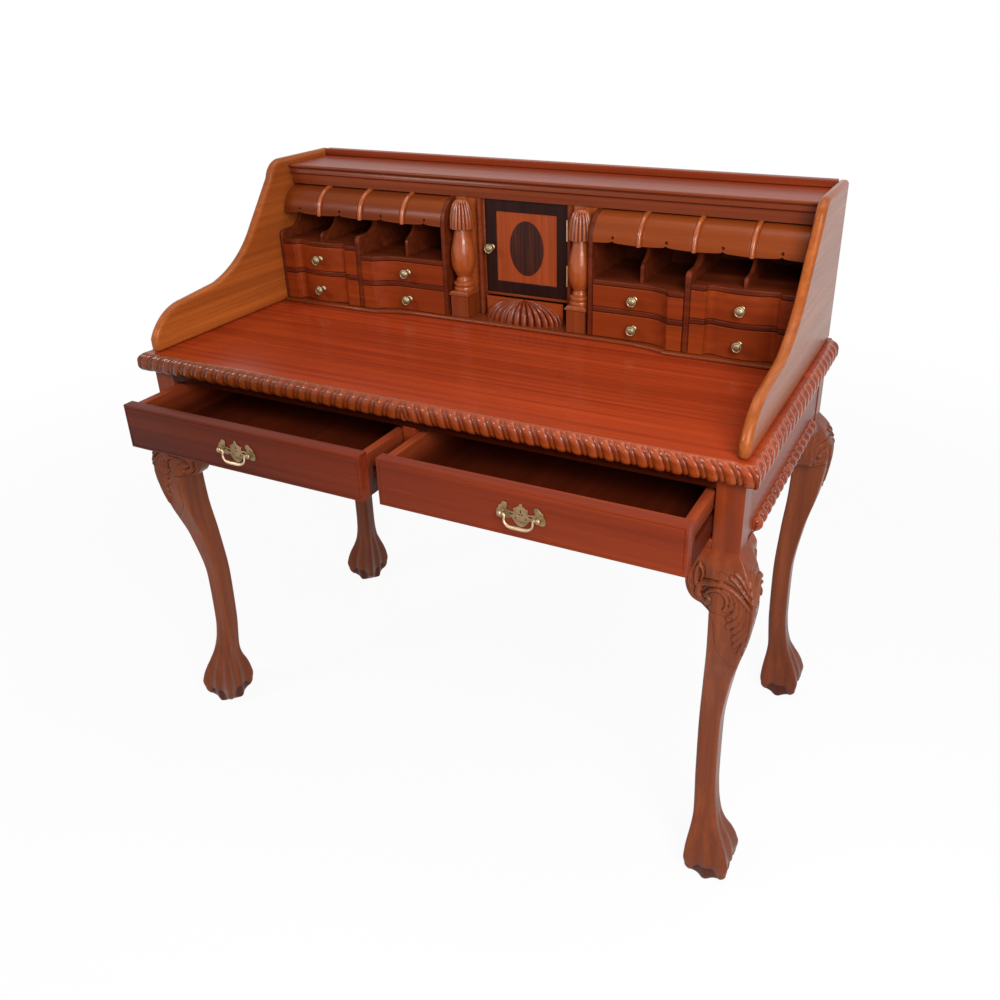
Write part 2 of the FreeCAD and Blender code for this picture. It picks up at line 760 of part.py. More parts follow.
# ---------------------------------------------------------------- plinth, walls and dividers
plinth_outer = "fillet_y - plinth_lip"
plinth_inner = "recess_y - plinth_lip"
plinth_half = [
    ("plinth_scoop_start", plinth_inner),
    ("scoop_end", plinth_outer, "plinth_scoop_radius", -1),
    ("side_inner", plinth_outer),
    ("side_inner", "inner_back_y"),
]
plinth_rest = [
    ("-side_inner", "inner_back_y"),
    ("-side_inner", plinth_outer),
    ("-scoop_end", plinth_outer),
    ("-plinth_scoop_start", plinth_inner, "plinth_scoop_radius", -1),
]
keep(pad("XY_Plane", plinth_half + plinth_rest, "plinth_high", z="top_height"), "plinth")


def upper_edge(front, front_top):
    """The back, top and frieze notch that all upright boards share, ending at the valance line."""
    return [
        ("inner_back_y", front_top[0]),
        ("inner_back_y", "ceiling"),
        ("frieze_y + frieze_deep + ceiling_gap", "ceiling"),
        ("frieze_y + frieze_deep + ceiling_gap", "frieze_bottom - ceiling_gap"),
        ("valance_y + ceiling_gap", "frieze_bottom - ceiling_gap"),
        *front_top[1:],
        (front, front_top[0]),
    ]


def nosed_board(front, foot, nose):
    """An upright board with a rounded nose, a level run and a sweep up behind the valance."""
    return upper_edge(front, [
        foot,
        ("valance_y + ceiling_gap", "valance_z"),
        (f"valance_y + ceiling_gap - valance_z + {nose}", nose, f"valance_z - {nose}", -1),
        (f"{front} + nose_round", nose),
        (front, f"{nose} - nose_round", "nose_round", 1),
    ])


wall_outline = upper_edge("wall_y", [
    "plinth_top",
    ("wall_y", "valance_z", "(valance_y + ceiling_gap - wall_y + valance_radius) / 2", 1),
])
keep(pair(pad("YZ_Plane", wall_outline, "wall_thick", x="wall_inner")), "tall_partitions")
divider = pad("YZ_Plane", nosed_board("fillet_y", "plinth_top", "divider_nose_level"),
              "divider_thick", x="divider_inner")
end_board = pad("YZ_Plane", nosed_board("fillet_y", "plinth_top", "pigeon_nose_level"),
                "end_board_thick", x="bay_end")
keep(group(divider, end_board, mirror(divider), mirror(end_board)), "main_dividers")
outer_pigeon = pad("YZ_Plane", nosed_board("fillet_y + pigeon_setback", "outer_floor", "pigeon_nose_level"),
                   "pigeon_thick", x="(divider_outer + bay_end - pigeon_thick) / 2")
inner_pigeon = pad("YZ_Plane", nosed_board("recess_y + pigeon_setback", "inner_floor", "pigeon_nose_level"),
                   "pigeon_thick", x="(wall_half + divider_inner - pigeon_thick) / 2")
keep(group(outer_pigeon, inner_pigeon, mirror(outer_pigeon), mirror(inner_pigeon)), "pigeonhole_dividers")


# ---------------------------------------------------------------- bays
def outer_line(low, high):
    """The front of an outer bay in plan: fillet, cove, swelling, cove, fillet."""
    return [
        (low, "fillet_y"),
        (f"{low} + fillet_width", "fillet_y"),
        (f"{low} + fillet_width + cove_size", "fillet_y + cove_size", "cove_size", -1),
        (f"{high} - fillet_width - cove_size", "fillet_y + cove_size", "swell_radius", 1),
        (f"{high} - fillet_width", "fillet_y", "cove_size", -1),
        (high, "fillet_y"),
    ]


def inner_line(low, high):
    """The front of an inner bay in plan: flat, then a long cove out to a fillet."""
    return [
        (low, "recess_y"),
        ("scoop_start", "recess_y"),
        ("scoop_end", "fillet_y", "scoop_radius", -1),
        (high, "fillet_y"),
    ]


BAYS = {
    "outer": ("divider_outer", "bay_end", outer_line, "outer_low_high", "outer_high_high", "outer_floor",
              "fillet_y + cove_size", "(divider_outer + bay_end) / 2", "swell_y"),
    "inner": ("wall_half", "divider_inner", inner_line, "inner_low_high", "inner_high_high", "inner_floor",
              "recess_y", "(wall_half + divider_inner) / 2 - inner_knob_shift", "recess_y"),
}
boards = []
for low, high, line, low_high, _, floor_top, _, _, _ in BAYS.values():
    outline = line(low, high) + [(high, "inner_back_y"), (low, "inner_back_y")]
    boards.append(pad("XY_Plane", outline, "dust_board_thick", z=f"plinth_top + {low_high}"))
    boards.append(pad("XY_Plane", outline, "floor_thick", z=f"{floor_top} - floor_thick"))
keep(group(*boards, *[mirror(item) for item in boards]), "bay_boards")


def small_drawer(bay, tier):
    """A small drawer as a group of front, sides, back and bottom, and its knob."""
    low, high, line, low_high, high_high, _, back_line, knob_x, knob_y = BAYS[bay]
    tall = low_high if tier == "low" else high_high
    base = "plinth_top" if tier == "low" else f"plinth_top + {low_high} + dust_board_thick"
    left, right = f"{low} + small_gap", f"{high} - small_gap"
    behind = f"{back_line} + small_front_thick"
    foot = f"{base} + small_gap"
    outline = line(left, right) + [(right, behind), (left, behind)]
    front = pad("XY_Plane", outline, f"{tall} - 2 * small_gap", z=foot)
    deep = f"inner_back_y - small_back_gap - ({behind})"
    side_high = f"{tall} - 2 * small_gap - small_box_drop"
    inside = f"{high} - ({low}) - 2 * small_gap - 2 * small_box_wall"
    sides = [box("small_box_wall", deep, side_high, spot, behind, foot)
             for spot in (left, f"{right} - small_box_wall")]
    back = box(inside, "small_box_wall", side_high, f"{left} + small_box_wall",
               "inner_back_y - small_back_gap - small_box_wall", foot)
    bottom = box(inside, f"{deep} - small_box_wall", "small_box_bottom", f"{left} + small_box_wall", behind, foot)
    drawer = group(front, *sides, back, bottom)
    knob = brass_knob(knob_x, knob_y, f"{base} + ({tall}) / 2")
    for item, word in ((drawer, "drawer"), (knob, "knob")):
        keep(item, f"{word}_{bay}_{tier}_right")
        keep(mirror(item), f"{word}_{bay}_{tier}_left")


def brass_knob(x, y, z):
    """A turned mushroom knob that points towards the user."""
    return turned([
        ("0", "0"),
        ("knob_base_radius", "0"),
        ("knob_base_radius", "0.1 * knob_length"),
        ("knob_stem_radius", "0.25 * knob_length"),
        ("knob_stem_radius", "0.5 * knob_length"),
        ("knob_radius", "0.7 * knob_length"),
        ("knob_radius * 0.8", "0.88 * knob_length"),
        ("0", "knob_length", "1.25 * knob_radius", -1),
    ], x, y, z, forward=True)


for bay_name in BAYS:
    for tier_name in ("low", "high"):
        small_drawer(bay_name, tier_name)

# ---------------------------------------------------------------- jambs, sill and shell
bead_half = "bead_width / 2"
jamb_post = pad("XY_Plane", [
    ("jamb_inner", "door_y"),
    ("jamb_outer - bead_width", "door_y"),
    ("jamb_outer - bead_width", f"door_y - bead_proud + {bead_half}"),
    ("jamb_outer", f"door_y - bead_proud + {bead_half}", f"{bead_half} * 1.0001", 1),
    ("jamb_outer", "inner_back_y"),
    ("jamb_inner", "inner_back_y"),
], "frieze_bottom - ceiling_gap - plinth_top", z="plinth_top")
jamb_head = box("jamb_thick", "inner_back_y - frieze_y - frieze_deep - ceiling_gap",
                "ceiling - frieze_bottom + ceiling_gap", "jamb_inner",
                "frieze_y + frieze_deep + ceiling_gap", "frieze_bottom - ceiling_gap")
keep(pair(fuse(jamb_post, jamb_head)), "door_jambs")
keep(box("2 * jamb_inner", "inner_back_y - door_y + sill_proud", "sill_high",
         "-jamb_inner", "door_y - sill_proud", "door_bottom - door_clear - sill_high"), "door_sill")
shell = doc.addObject("Part::Ellipsoid", "Shell")
shell.Placement = Placement(Vector(), Rotation(Vector(0, 0, 1), 180))
shell.Angle1 = 0.0
shell.Angle2 = 90.0
shell.Angle3 = 180.0
bind(shell, Radius1="shell_high", Radius2="shell_half", Radius3="shell_deep")
place(shell, "0", "door_y - shell_setback", "plinth_top")
keep(shell, "shell_carving")

# ---------------------------------------------------------------- door and its hinges
hole_half = "door_half - door_border"
pocket_half = "door_half - door_border + rabbet_width"
panel_half = "door_half - door_border + rabbet_width - rabbet_clear"
frame_board = box("2 * door_half", "door_thick", "door_high", "-door_half", "door_y", "door_bottom")
sight = box(f"2 * ({hole_half})", "door_thick", "door_high - 2 * door_border",
            f"-({hole_half})", "door_y", "door_bottom + door_border")
pocket = box(f"2 * ({pocket_half})", "door_thick", "door_high - 2 * door_border + 2 * rabbet_width",
             f"-({pocket_half})", "door_y + panel_recess", "door_bottom + door_border - rabbet_width")
keep(cut(cut(frame_board, sight), pocket), "door_frame")
keep(box(f"2 * ({panel_half})", "panel_thick",
         "door_high - 2 * door_border + 2 * rabbet_width - 2 * rabbet_clear",
         f"-({panel_half})", "door_y + panel_recess",
         "door_bottom + door_border - rabbet_width + rabbet_clear"), "door_panel")

ellipse = Part.Ellipse(Vector(), number("oval_half_high"), number("oval_half_width"))
disc = Part.Face(Part.Wire([ellipse.toShape()])).extrude(Vector(0, 0, number("oval_thick")))
oval = doc.addObject("Part::Feature", "Oval")
oval.Shape = disc
oval.Placement = Placement(Vector(), Rotation(Vector(0, 0, 1), Vector(1, 0, 0), Vector(0, 1, 0), "XYZ"))
place(oval, "0", "door_y + panel_recess - oval_thick", "door_centre_z")
keep(oval, "door_oval")
keep(brass_knob("knob_inset - door_half", "door_y", "door_centre_z - knob_drop"), "door_knob")

segment = "(leaf_high - 2 * knuckle_clear) / 3"
leaf_x = {"fixed": "jamb_inner - leaf_thick", "door": "door_half"}


def hinge_leaf(kind, low):
    """One leaf of a hinge with its knuckles, from the hinge's lower end."""
    starts = {"fixed": ["0", f"2 * ({segment} + knuckle_clear)"], "door": [f"{segment} + knuckle_clear"]}[kind]
    pieces = [box("leaf_thick", "leaf_deep", "leaf_high", leaf_x[kind], "door_y", low)]
    holes = []
    for start in starts:
        foot = f"{low} + {start}"
        barrel = rod("knuckle_radius", segment, "pivot_x", "pivot_y", foot)
        web = box("leaf_thick", "door_y - pivot_y", segment, leaf_x[kind], "pivot_y", foot)
        pieces += [barrel, web]
        if kind == "door":
            holes.append(rod("hinge_pin_radius + pin_clear", segment, "pivot_x", "pivot_y", foot))
    if kind == "fixed":
        pieces.append(rod("hinge_pin_radius", "leaf_high", "pivot_x", "pivot_y", low))
        return fuse(*pieces)
    return cut(fuse(*pieces), holes[0])


hinge_feet = ["door_bottom + hinge_inset", "door_bottom + door_high - hinge_inset - leaf_high"]
keep(group(*[hinge_leaf("fixed", foot) for foot in hinge_feet]), "hinge_fixed_leaves")
keep(group(*[hinge_leaf("door", foot) for foot in hinge_feet]), "hinge_door_leaves")

# ---------------------------------------------------------------- document slides
slide_foot = "plinth_top + small_gap"
block_low = "column_x - block_width / 2"
block_front = "column_y - block_reach"
block = box("block_width", f"column_back_y - ({block_front})", "block_high - small_gap",
            block_low, block_front, slide_foot)
cap = box("block_width + 2 * cap_proud", f"column_back_y - ({block_front}) + cap_proud", "cap_high",
          f"{block_low} - cap_proud", f"{block_front} - cap_proud", "plinth_top + block_high")
column = turned([
    ("0", "0"),
    ("ring_radius", "0"),
    ("ring_radius", "0.3 * ring_high"),
    ("ring_radius * 0.7", "0.5 * ring_high"),
    ("ring_radius * 0.8", "0.75 * ring_high"),
    ("neck_radius", "ring_high"),
    ("vase_radius", "vase_level", "1.2 * vase_level", -1),
    ("neck_radius", "bell_level - 0.4 * ring_high", "1.6 * vase_level", 1),
    ("bell_radius", "bell_level"),
    ("bell_radius", "bell_level + 3"),
    ("bell_radius * 0.88", "bell_level + 0.19 * column_tall"),
    ("bell_radius * 0.45", "bell_level + 0.275 * column_tall"),
    ("0", "column_tall"),
], "column_x", "column_y", "column_foot")
slide_high = "column_head - plinth_top - small_gap"
backing = box("2 * column_half", "column_back_thick", slide_high,
              "column_x - column_half", "column_back_y", slide_foot)
slide_sides = [box("small_box_wall", "column_box_deep", slide_high, spot, "column_box_y", slide_foot)
               for spot in ("column_x - column_half", "column_x + column_half - small_box_wall")]
slide_inside = "2 * column_half - 2 * small_box_wall"
slide_back = box(slide_inside, "small_box_wall", slide_high, "column_x - column_half + small_box_wall",
                 "column_box_y + column_box_deep - small_box_wall", slide_foot)
slide_bottom = box(slide_inside, "column_box_deep - small_box_wall", "small_box_bottom",
                   "column_x - column_half + small_box_wall", "column_box_y", slide_foot)
slide = group(block, cap, column, backing, *slide_sides, slide_back, slide_bottom)
keep(slide, "document_slide_right")
keep(mirror(slide), "document_slide_left")


# ---------------------------------------------------------------- long drawers and their handles
def long_drawer(word, side, pull):
    """A long drawer with its box, back plate and bail, drawn out by pull."""
    shift = f"face_y - {pull}"
    foot = "opening_bottom + drawer_gap"
    front_low = "long_front_x" if side > 0 else "-long_front_x - long_front_width"
    keep(box("long_front_width", "front_thick", "long_front_high", front_low, shift, foot),
         f"long_drawer_front_{word}")
    low = f"{front_low} + box_inset"
    wide = "long_front_width - 2 * box_inset"
    box_y = f"{shift} + front_thick"
    sides = []
    for spot, groove_x in ((low, low), (f"{low} + {wide} - box_side_thick", f"{low} + {wide} - groove_deep")):
        board = box("box_side_thick", "box_length", "box_high", spot, box_y, foot)
        groove = box("groove_deep", "box_length - groove_start", "groove_high", groove_x,
                     f"{box_y} + groove_start", "opening_mid - groove_high / 2")
        sides.append(cut(board, groove))
    inside = f"{wide} - 2 * box_side_thick"
    back = box(inside, "box_back_thick", "box_high", f"{low} + box_side_thick",
               f"{box_y} + box_length - box_back_thick", foot)
    bottom = box(inside, "box_length - box_back_thick", "box_bottom_thick", f"{low} + box_side_thick",
                 box_y, f"{foot} + box_bottom_rise")
    keep(group(*sides, back, bottom), f"long_drawer_box_{word}")

    middle = f"{side} * handle_x"
    plate = pad("XZ_Plane", plate_outline(), "plate_thick", x=middle, y=shift, z="handle_z")
    knuckles, holes = [], []
    for end in (-1, 1):
        x = f"{middle} + {end} * post_span / 2"
        knuckles.append(rod("handle_post_radius", "pivot_reach", x, f"{shift} - pivot_reach", "handle_z", "y"))
        knuckles.append(ball("post_ball_radius", x, f"{shift} - pivot_reach", "handle_z"))
        hole_x = x if end < 0 else f"{x} - post_ball_radius"
        holes.append(rod("bail_radius + pivot_clear", "post_ball_radius", hole_x,
                         f"{shift} - pivot_reach", "handle_z", "x"))
    keep(cut(fuse(plate, *knuckles), group(*holes)), f"handle_plate_{word}")

    bail = doc.addObject("Part::Feature", "Bail")
    bail.Shape = bail_shape()
    place(bail, middle, f"{shift} - pivot_reach", "handle_z")
    keep(bail, f"bail_{word}")


def plate_outline():
    """The winged outline of a back plate, as shares of its half width and half height."""
    shares = [(-1, 0), (-0.86, 0.7), (-0.55, 0.42), (-0.3, 0.62), (0, 1), (0.3, 0.62), (0.55, 0.42),
              (0.86, 0.7), (1, 0), (0.86, -0.75), (0.5, -0.5), (0.25, -0.72), (0, -1), (-0.25, -0.72),
              (-0.5, -0.5), (-0.86, -0.75)]
    return [(f"{i} * plate_width / 2", f"{j} * plate_high / 2") for i, j in shares]


def bail_shape():
    """A round bar bent into a drop handle whose ends turn out into their pivots."""
    radius, half = number("bail_radius"), number("bail_half")
    drop, shoulder, corner = number("bail_drop"), number("bail_shoulder"), number("bail_corner")
    tip = number("post_span / 2 - pin_start")
    lean = math.sqrt(0.5)
    spots = [
        Vector(tip, 0, 0),
        Vector(half + shoulder, 0, 0),
        Vector(half + shoulder * (1 - lean), 0, -shoulder * (1 - lean)),
        Vector(half, 0, -shoulder),
        Vector(half, 0, -drop + corner),
        Vector(half - corner * (1 - lean), 0, -drop + corner * (1 - lean)),
        Vector(half - corner, 0, -drop),
    ]
    flip = [Vector(-spot.x, 0, spot.z) for spot in spots]
    edges = []
    for run in (spots, flip):
        edges += [
            Part.makeLine(run[0], run[1]),
            Part.Arc(run[1], run[2], run[3]).toShape(),
            Part.makeLine(run[3], run[4]),
            Part.Arc(run[4], run[5], run[6]).toShape(),
        ]
    edges.append(Part.makeLine(spots[6], flip[6]))
    path = Part.Wire(Part.__sortEdges__(edges))
    start = path.OrderedVertexes[0].Point
    ring = Part.Wire([Part.makeCircle(radius, start, Vector(1, 0, 0))])
    bar = path.makePipeShell([ring], True, False)
    bar.rotate(Vector(), Vector(1, 0, 0), -math.degrees(math.asin(number("bail_lean / bail_drop"))))
    return bar


long_drawer("left", -1, "left_pull")
long_drawer("right", 1, "right_pull")

# ---------------------------------------------------------------- check and write
doc.recompute()
for item in doc.Objects:
    if {"Invalid", "Error"} & set(item.State):
        raise RuntimeError(f"{item.Label} did not build")
for label, item in nodes.items():
    if item.Shape.isNull() or not item.Shape.isValid():
        raise RuntimeError(f"{label} has no sound shape")
os.makedirs("parts", exist_ok=True)
for label, item in nodes.items():
    item.Shape.exportStep(f"parts/{label}.step")
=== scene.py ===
"""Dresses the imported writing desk: carved legs and edges, turned columns, brass and polished wood."""
import json
import math
import bmesh
import bpy
import numpy as np
from bpy.props import FloatProperty, FloatVectorProperty, IntProperty, PointerProperty
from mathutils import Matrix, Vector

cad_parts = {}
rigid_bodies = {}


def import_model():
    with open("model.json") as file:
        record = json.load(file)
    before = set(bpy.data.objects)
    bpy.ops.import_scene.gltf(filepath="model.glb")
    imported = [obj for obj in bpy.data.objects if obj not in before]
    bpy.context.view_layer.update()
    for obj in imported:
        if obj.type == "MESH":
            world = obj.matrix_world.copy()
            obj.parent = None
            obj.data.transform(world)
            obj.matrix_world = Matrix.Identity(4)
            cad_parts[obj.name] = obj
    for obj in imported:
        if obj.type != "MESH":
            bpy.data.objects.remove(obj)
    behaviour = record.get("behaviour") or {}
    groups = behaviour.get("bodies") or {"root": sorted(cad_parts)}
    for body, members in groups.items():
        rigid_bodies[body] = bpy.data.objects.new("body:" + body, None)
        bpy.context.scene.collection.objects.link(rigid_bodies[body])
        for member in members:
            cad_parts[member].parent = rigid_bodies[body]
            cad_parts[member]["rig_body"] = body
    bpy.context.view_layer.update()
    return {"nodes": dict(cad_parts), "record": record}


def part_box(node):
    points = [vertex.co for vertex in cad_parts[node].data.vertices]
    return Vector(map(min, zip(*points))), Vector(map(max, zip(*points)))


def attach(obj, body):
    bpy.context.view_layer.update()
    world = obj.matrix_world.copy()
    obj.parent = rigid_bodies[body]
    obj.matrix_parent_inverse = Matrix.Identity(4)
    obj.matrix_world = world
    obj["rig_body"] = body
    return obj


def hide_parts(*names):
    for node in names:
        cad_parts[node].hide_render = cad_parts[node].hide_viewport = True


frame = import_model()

bl_info = {
    "name": "Writing desk dresser",
    "version": (1, 0, 0),
    "blender": (4, 5, 0),
    "location": "View3D > Sidebar > Writing desk",
    "description": "Builds the carved, turned and polished pieces of a writing desk over its packed frame",
    "category": "Object",
}

MM = 0.001
LEAST_RADIUS = 0.02 * MM
WELD = 0.001 * MM
NODES = frame["nodes"]
SLOTS = {part["node"]: part["material_slot"] for part in frame["record"]["subparts"]}


def low(node):
    """The lowest corner of a frame node."""
    return np.array(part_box(node)[0])


def high(node):
    """The highest corner of a frame node."""
    return np.array(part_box(node)[1])


# ---- lines read from the frame
FACE_Y = low("front_rails")[1]
BACK_Y = high("back_apron")[1] + 1.5 * MM
TOP_Z = high("writing_top")[2]
TOP_UNDER = low("writing_top")[2]
APRON_Z = low("back_apron")[2]
HALF_WIDTH = high("upper_side_right")[0]
POST = low("side_aprons")[1] - FACE_Y
POST_X = HALF_WIDTH - POST / 2
HALF_TOP = high("top_gadroon")[0]
TOP_FRONT = low("top_gadroon")[1]
MOULDING = low("writing_top")[1] - TOP_FRONT
SHELF_TOP = high("top_shelf")[2]
CEILING = low("top_shelf")[2]
FRIEZE_BOTTOM = low("cornice")[2]
PLINTH_TOP = high("plinth")[2]
BOX_TOP = high("long_drawer_box_right")[2]
DRAWER_TOP = high("long_drawer_front_right")[2]


# ---- sizes and colours a user may change
def length(name, description, millimetres):
    """A length property, given in millimetres."""
    return FloatProperty(name=name, description=description, default=millimetres * MM, unit="LENGTH",
                         precision=4)


def colour(name, description, value):
    """A colour property."""
    return FloatVectorProperty(name=name, description=description, default=value, subtype="COLOR", size=3,
                               min=0.0, max=1.0)


class LegSizes(bpy.types.PropertyGroup):
    """Carving of the cabriole legs"""
    scroll_height: length("Scroll height", "How far the knee scroll stands out", 4.0)
    arch: length("Arch", "Height of the arches between the toes, which show the ball", 31.0)
    ridge_height: length("Toe ridge", "How far the toe ridges stand out", 2.0)


class EdgeSizes(bpy.types.PropertyGroup):
    """Carved lobes of the gadrooned edges"""
    top_lobe: length("Top lobe spacing", "Distance from lobe to lobe round the writing top", 25.0)
    apron_lobe: length("Apron lobe spacing", "Distance from lobe to lobe below the side aprons", 26.0)
    depth: length("Depth", "Depth of the grooves between lobes", 3.6)
    drop: length("Drop", "How far the carved edge hangs below the writing top", 4.5)
    lean: length("Lean", "How far a lobe leans from its top to its foot", 15.0)


class ShellSizes(bpy.types.PropertyGroup):
    """The carved shell below the door"""
    lobes: IntProperty(name="Lobes", description="Number of lobes of the shell", default=15, min=5, max=41)
    depth: FloatProperty(name="Groove depth", description="Groove depth as a share of the radius",
                         default=0.15, min=0.0, max=0.5)


class ColumnSizes(bpy.types.PropertyGroup):
    """The turned columns of the document slides"""
    flutes: IntProperty(name="Flutes", description="Flutes round the bell cap", default=18, min=8, max=48)
    flute_depth: length("Flute depth", "Depth of the flutes of the bell cap", 2.2)


class ValanceSizes(bpy.types.PropertyGroup):
    """The curved valances over the pigeonholes"""
    scallop: length("Scallop", "How far the lower edge rises between two ribs", 4.0)
    rib: length("Rib radius", "Radius of the ribs", 4.4)


class BrassSizes(bpy.types.PropertyGroup):
    """Handles and knobs"""
    plate_dome: length("Plate edge", "Rounded edge of a handle's back plate", 0.5)
    brass: colour("Brass", "Colour of the polished brass", (0.38, 0.30, 0.175))


class WoodColours(bpy.types.PropertyGroup):
    """Colours of the polished wood"""
    top: colour("Writing top", "Main colour of the writing top", (0.38, 0.045, 0.010))
    front: colour("Drawer fronts", "Main colour of the long drawers", (0.31, 0.045, 0.012))
    leg: colour("Legs", "Main colour of the legs", (0.26, 0.062, 0.020))
    golden: colour("Golden wood", "Colour of the valances", (0.32, 0.068, 0.012))
    rosewood: colour("Door frame", "Colour of the dark door frame", (0.026, 0.008, 0.006))


class StageSizes(bpy.types.PropertyGroup):
    """Camera and light"""
    lens: FloatProperty(name="Focal length", description="Focal length of the camera in millimetres",
                        default=34.259, min=10.0, max=200.0)
    key_power: FloatProperty(name="Key light", description="Power of the key light", default=28.0,
                             unit="POWER")
    fill: FloatProperty(name="Fill", description="Strength of the light from all round", default=0.11)


class DeskSettings(bpy.types.PropertyGroup):
    """All settings of the writing desk"""
    leg: PointerProperty(type=LegSizes)
    edge: PointerProperty(type=EdgeSizes)
    shell: PointerProperty(type=ShellSizes)
    column: PointerProperty(type=ColumnSizes)
    valance: PointerProperty(type=ValanceSizes)
    brass: PointerProperty(type=BrassSizes)
    wood: PointerProperty(type=WoodColours)
    stage: PointerProperty(type=StageSizes)


def settings():
    """The desk's settings in the open scene."""
    return bpy.context.scene.writing_desk


def points_at(*coordinates):
    """Points from one array for each coordinate."""
    return np.stack(np.broadcast_arrays(*coordinates), axis=-1)


# ---- shader maths
class Value:
    """A number socket that adds Math nodes when it is used in an expression."""

    def __init__(self, shade, socket):
        self.shade = shade
        self.socket = socket

    def _math(self, operation, first, second):
        """A Math node of two numbers."""
        return self.shade.add("ShaderNodeMath", {"operation": operation}, {0: first, 1: second})

    def __add__(self, other):
        return self._math("ADD", self, other)

    def __sub__(self, other):
        return self._math("SUBTRACT", self, other)

    def __rsub__(self, other):
        return self._math("SUBTRACT", other, self)

    def __mul__(self, other):
        return self._math("MULTIPLY", self, other)

    __radd__ = __add__
    __rmul__ = __mul__

    def spread(self, start, stop, first=0.0, last=1.0):
        """The value moved from one range to another, and held inside it."""
        return self.shade.add("ShaderNodeMapRange", {"interpolation_type": "SMOOTHSTEP"}, {
            "Value": self, "From Min": start, "From Max": stop, "To Min": first, "To Max": last})


class Shade:
    """A material and the nodes that make it."""

    def __init__(self, name):
        self.material = bpy.data.materials.new(name)
        self.material.use_nodes = True
        self.tree = self.material.node_tree
        self.surface = self.tree.nodes["Principled BSDF"]
        self.spot = self.add("ShaderNodeTexCoord", output="Object")

    def add(self, kind, options=None, inputs=None, output=0):
        """Adds a node of a type with its settings and the values or links of its sockets."""
        node = self.tree.nodes.new(kind)
        for key, value in (options or {}).items():
            setattr(node, key, value)
        for key, value in (inputs or {}).items():
            self.feed(node.inputs[key], value)
        return Value(self, node.outputs[output])

    def feed(self, socket, value):
        """Links a socket to a value, or sets its number, vector or colour."""
        if isinstance(value, Value):
            self.tree.links.new(value.socket, socket)
        else:
            socket.default_value = (*value, 1.0) if socket.type == "RGBA" else value

    def coat(self, **sockets):
        """Sets or links sockets of the surface, named with underscores for spaces; returns the material."""
        for name, value in sockets.items():
            self.feed(self.surface.inputs[name.replace("_", " ")], value)
        return self.material

    def ramp(self, share, stops):
        """A colour ramp through (place, colour) stops."""
        made = self.add("ShaderNodeValToRGB", None, {0: share})
        ramp = made.socket.node.color_ramp
        while len(ramp.elements) < len(stops):
            ramp.elements.new(1.0)
        for element, (place, tone) in zip(ramp.elements, stops):
            element.position = place
            element.color = (*tone, 1.0)
        return made

    def blend(self, share, first, second, way="MIX"):
        """Two colours mixed by a share."""
        return self.add("ShaderNodeMix", {"data_type": "RGBA", "blend_type": way},
                        {0: share, 6: first, 7: second}, output=2)

    def stretched(self, factors):
        """Coordinates stretched by three factors."""
        return self.add("ShaderNodeVectorMath", {"operation": "MULTIPLY"}, {0: self.spot, 1: factors})

    def noise(self, spot, scale, detail, roughness=0.5, distortion=0.0):
        """Noise between 0 and 1 at the coordinates."""
        return self.add("ShaderNodeTexNoise", None, {"Vector": spot, "Scale": scale, "Detail": detail,
                                                     "Roughness": roughness, "Distortion": distortion})

    def axis(self, name):
        """One coordinate of the object's own space, in metres."""
        return self.add("ShaderNodeSeparateXYZ", None, {0: self.spot}, output=name)

    def bump(self, height, strength, distance):
        """A bump on the surface's normal."""
        return self.add("ShaderNodeBump", None,
                        {"Height": height, "Strength": strength, "Distance": distance})


def darker(shade, share):
    """A colour at a share of its strength, redder as it darkens."""
    red, green, blue = shade
    return (red * share, green * share ** 1.25, blue * share ** 1.15)


def wood(name, body, along="X", dark=0.42, light=1.35, streaks=1.0, gloss=0.32, coat=0.03, hollow=False,
         tint_and_painted_shade=None):
    """Polished mahogany: wide colour bands, long streaks and short dark pores that all run along one axis.

    With a ramp, an axis, two places on it in metres and a tint, the colour is multiplied by a share of the
    tint that grows from none at the first place to all of it at the second. Most ramps paint shade where
    less light falls; the one on the legs is a redder tone of the post's own wood.
    """
    shade = Shade(name)

    def grain(lengthways, crossways, *noise):
        """Noise whose coordinates are stretched by one factor along the grain and another across it."""
        factors = [lengthways if axis == along else crossways for axis in "XYZ"]
        return shade.noise(shade.stretched(factors), *noise)

    bands = grain(0.55, 7.7, 1.6, 2.0, 0.5, 0.4)
    streak = grain(0.5, 36.4, 2.2, 5.0, 0.62)
    fine = grain(2.0, 336.0, 2.4, 2.0)
    pores = grain(9.0, 644.0, 3.0, 1.0)
    cloud = shade.noise(shade.spot, 5.0, 2.0)
    colours = shade.ramp(bands * 0.45 + streak * 0.75 * streaks - 0.1 * streaks - 0.05, (
        (0.28, darker(body, dark)), (0.44, darker(body, 0.5 + dark * 0.5)), (0.54, body),
        (0.72, tuple(min(1.0, value * light) for value in body))))
    for pattern, start, stop, most, tone in ((fine, 0.35, 0.65, 0.35, 0.66), (pores, 0.62, 0.75, 0.5, 0.3),
                                             (cloud, 0.35, 0.7, 0.3, 0.7)):
        colours = shade.blend(pattern.spread(start, stop, 0.0, most), colours, darker(body, tone))
    rough = fine.spread(0.2, 0.8, gloss - 0.04, gloss + 0.08)
    # Painted shade along one axis, except on the legs, where it is the wood's own redder tone.
    if tint_and_painted_shade:
        axis, start, stop, tint = tint_and_painted_shade
        colours = shade.blend(shade.axis(axis).spread(start, stop), colours, tint, "MULTIPLY")
    # Painted shade: the hollow attribute darkens grooves, recesses and holes, and also makes them rougher.
    if hollow:
        depth = shade.add("ShaderNodeAttribute", {"attribute_name": "hollow"}, output="Fac")
        colours = shade.blend(depth.spread(0.15, 0.9, 0.0, 0.82), colours, darker(body, 0.16))
        rough = rough + depth * 0.2
    return shade.coat(Base_Color=colours, Roughness=rough, Coat_Weight=coat, Coat_Roughness=0.12,
                      Coat_IOR=1.45, Specular_IOR_Level=0.1,
                      Normal=shade.bump(fine + pores * 0.5, 0.04, 0.5 * MM))


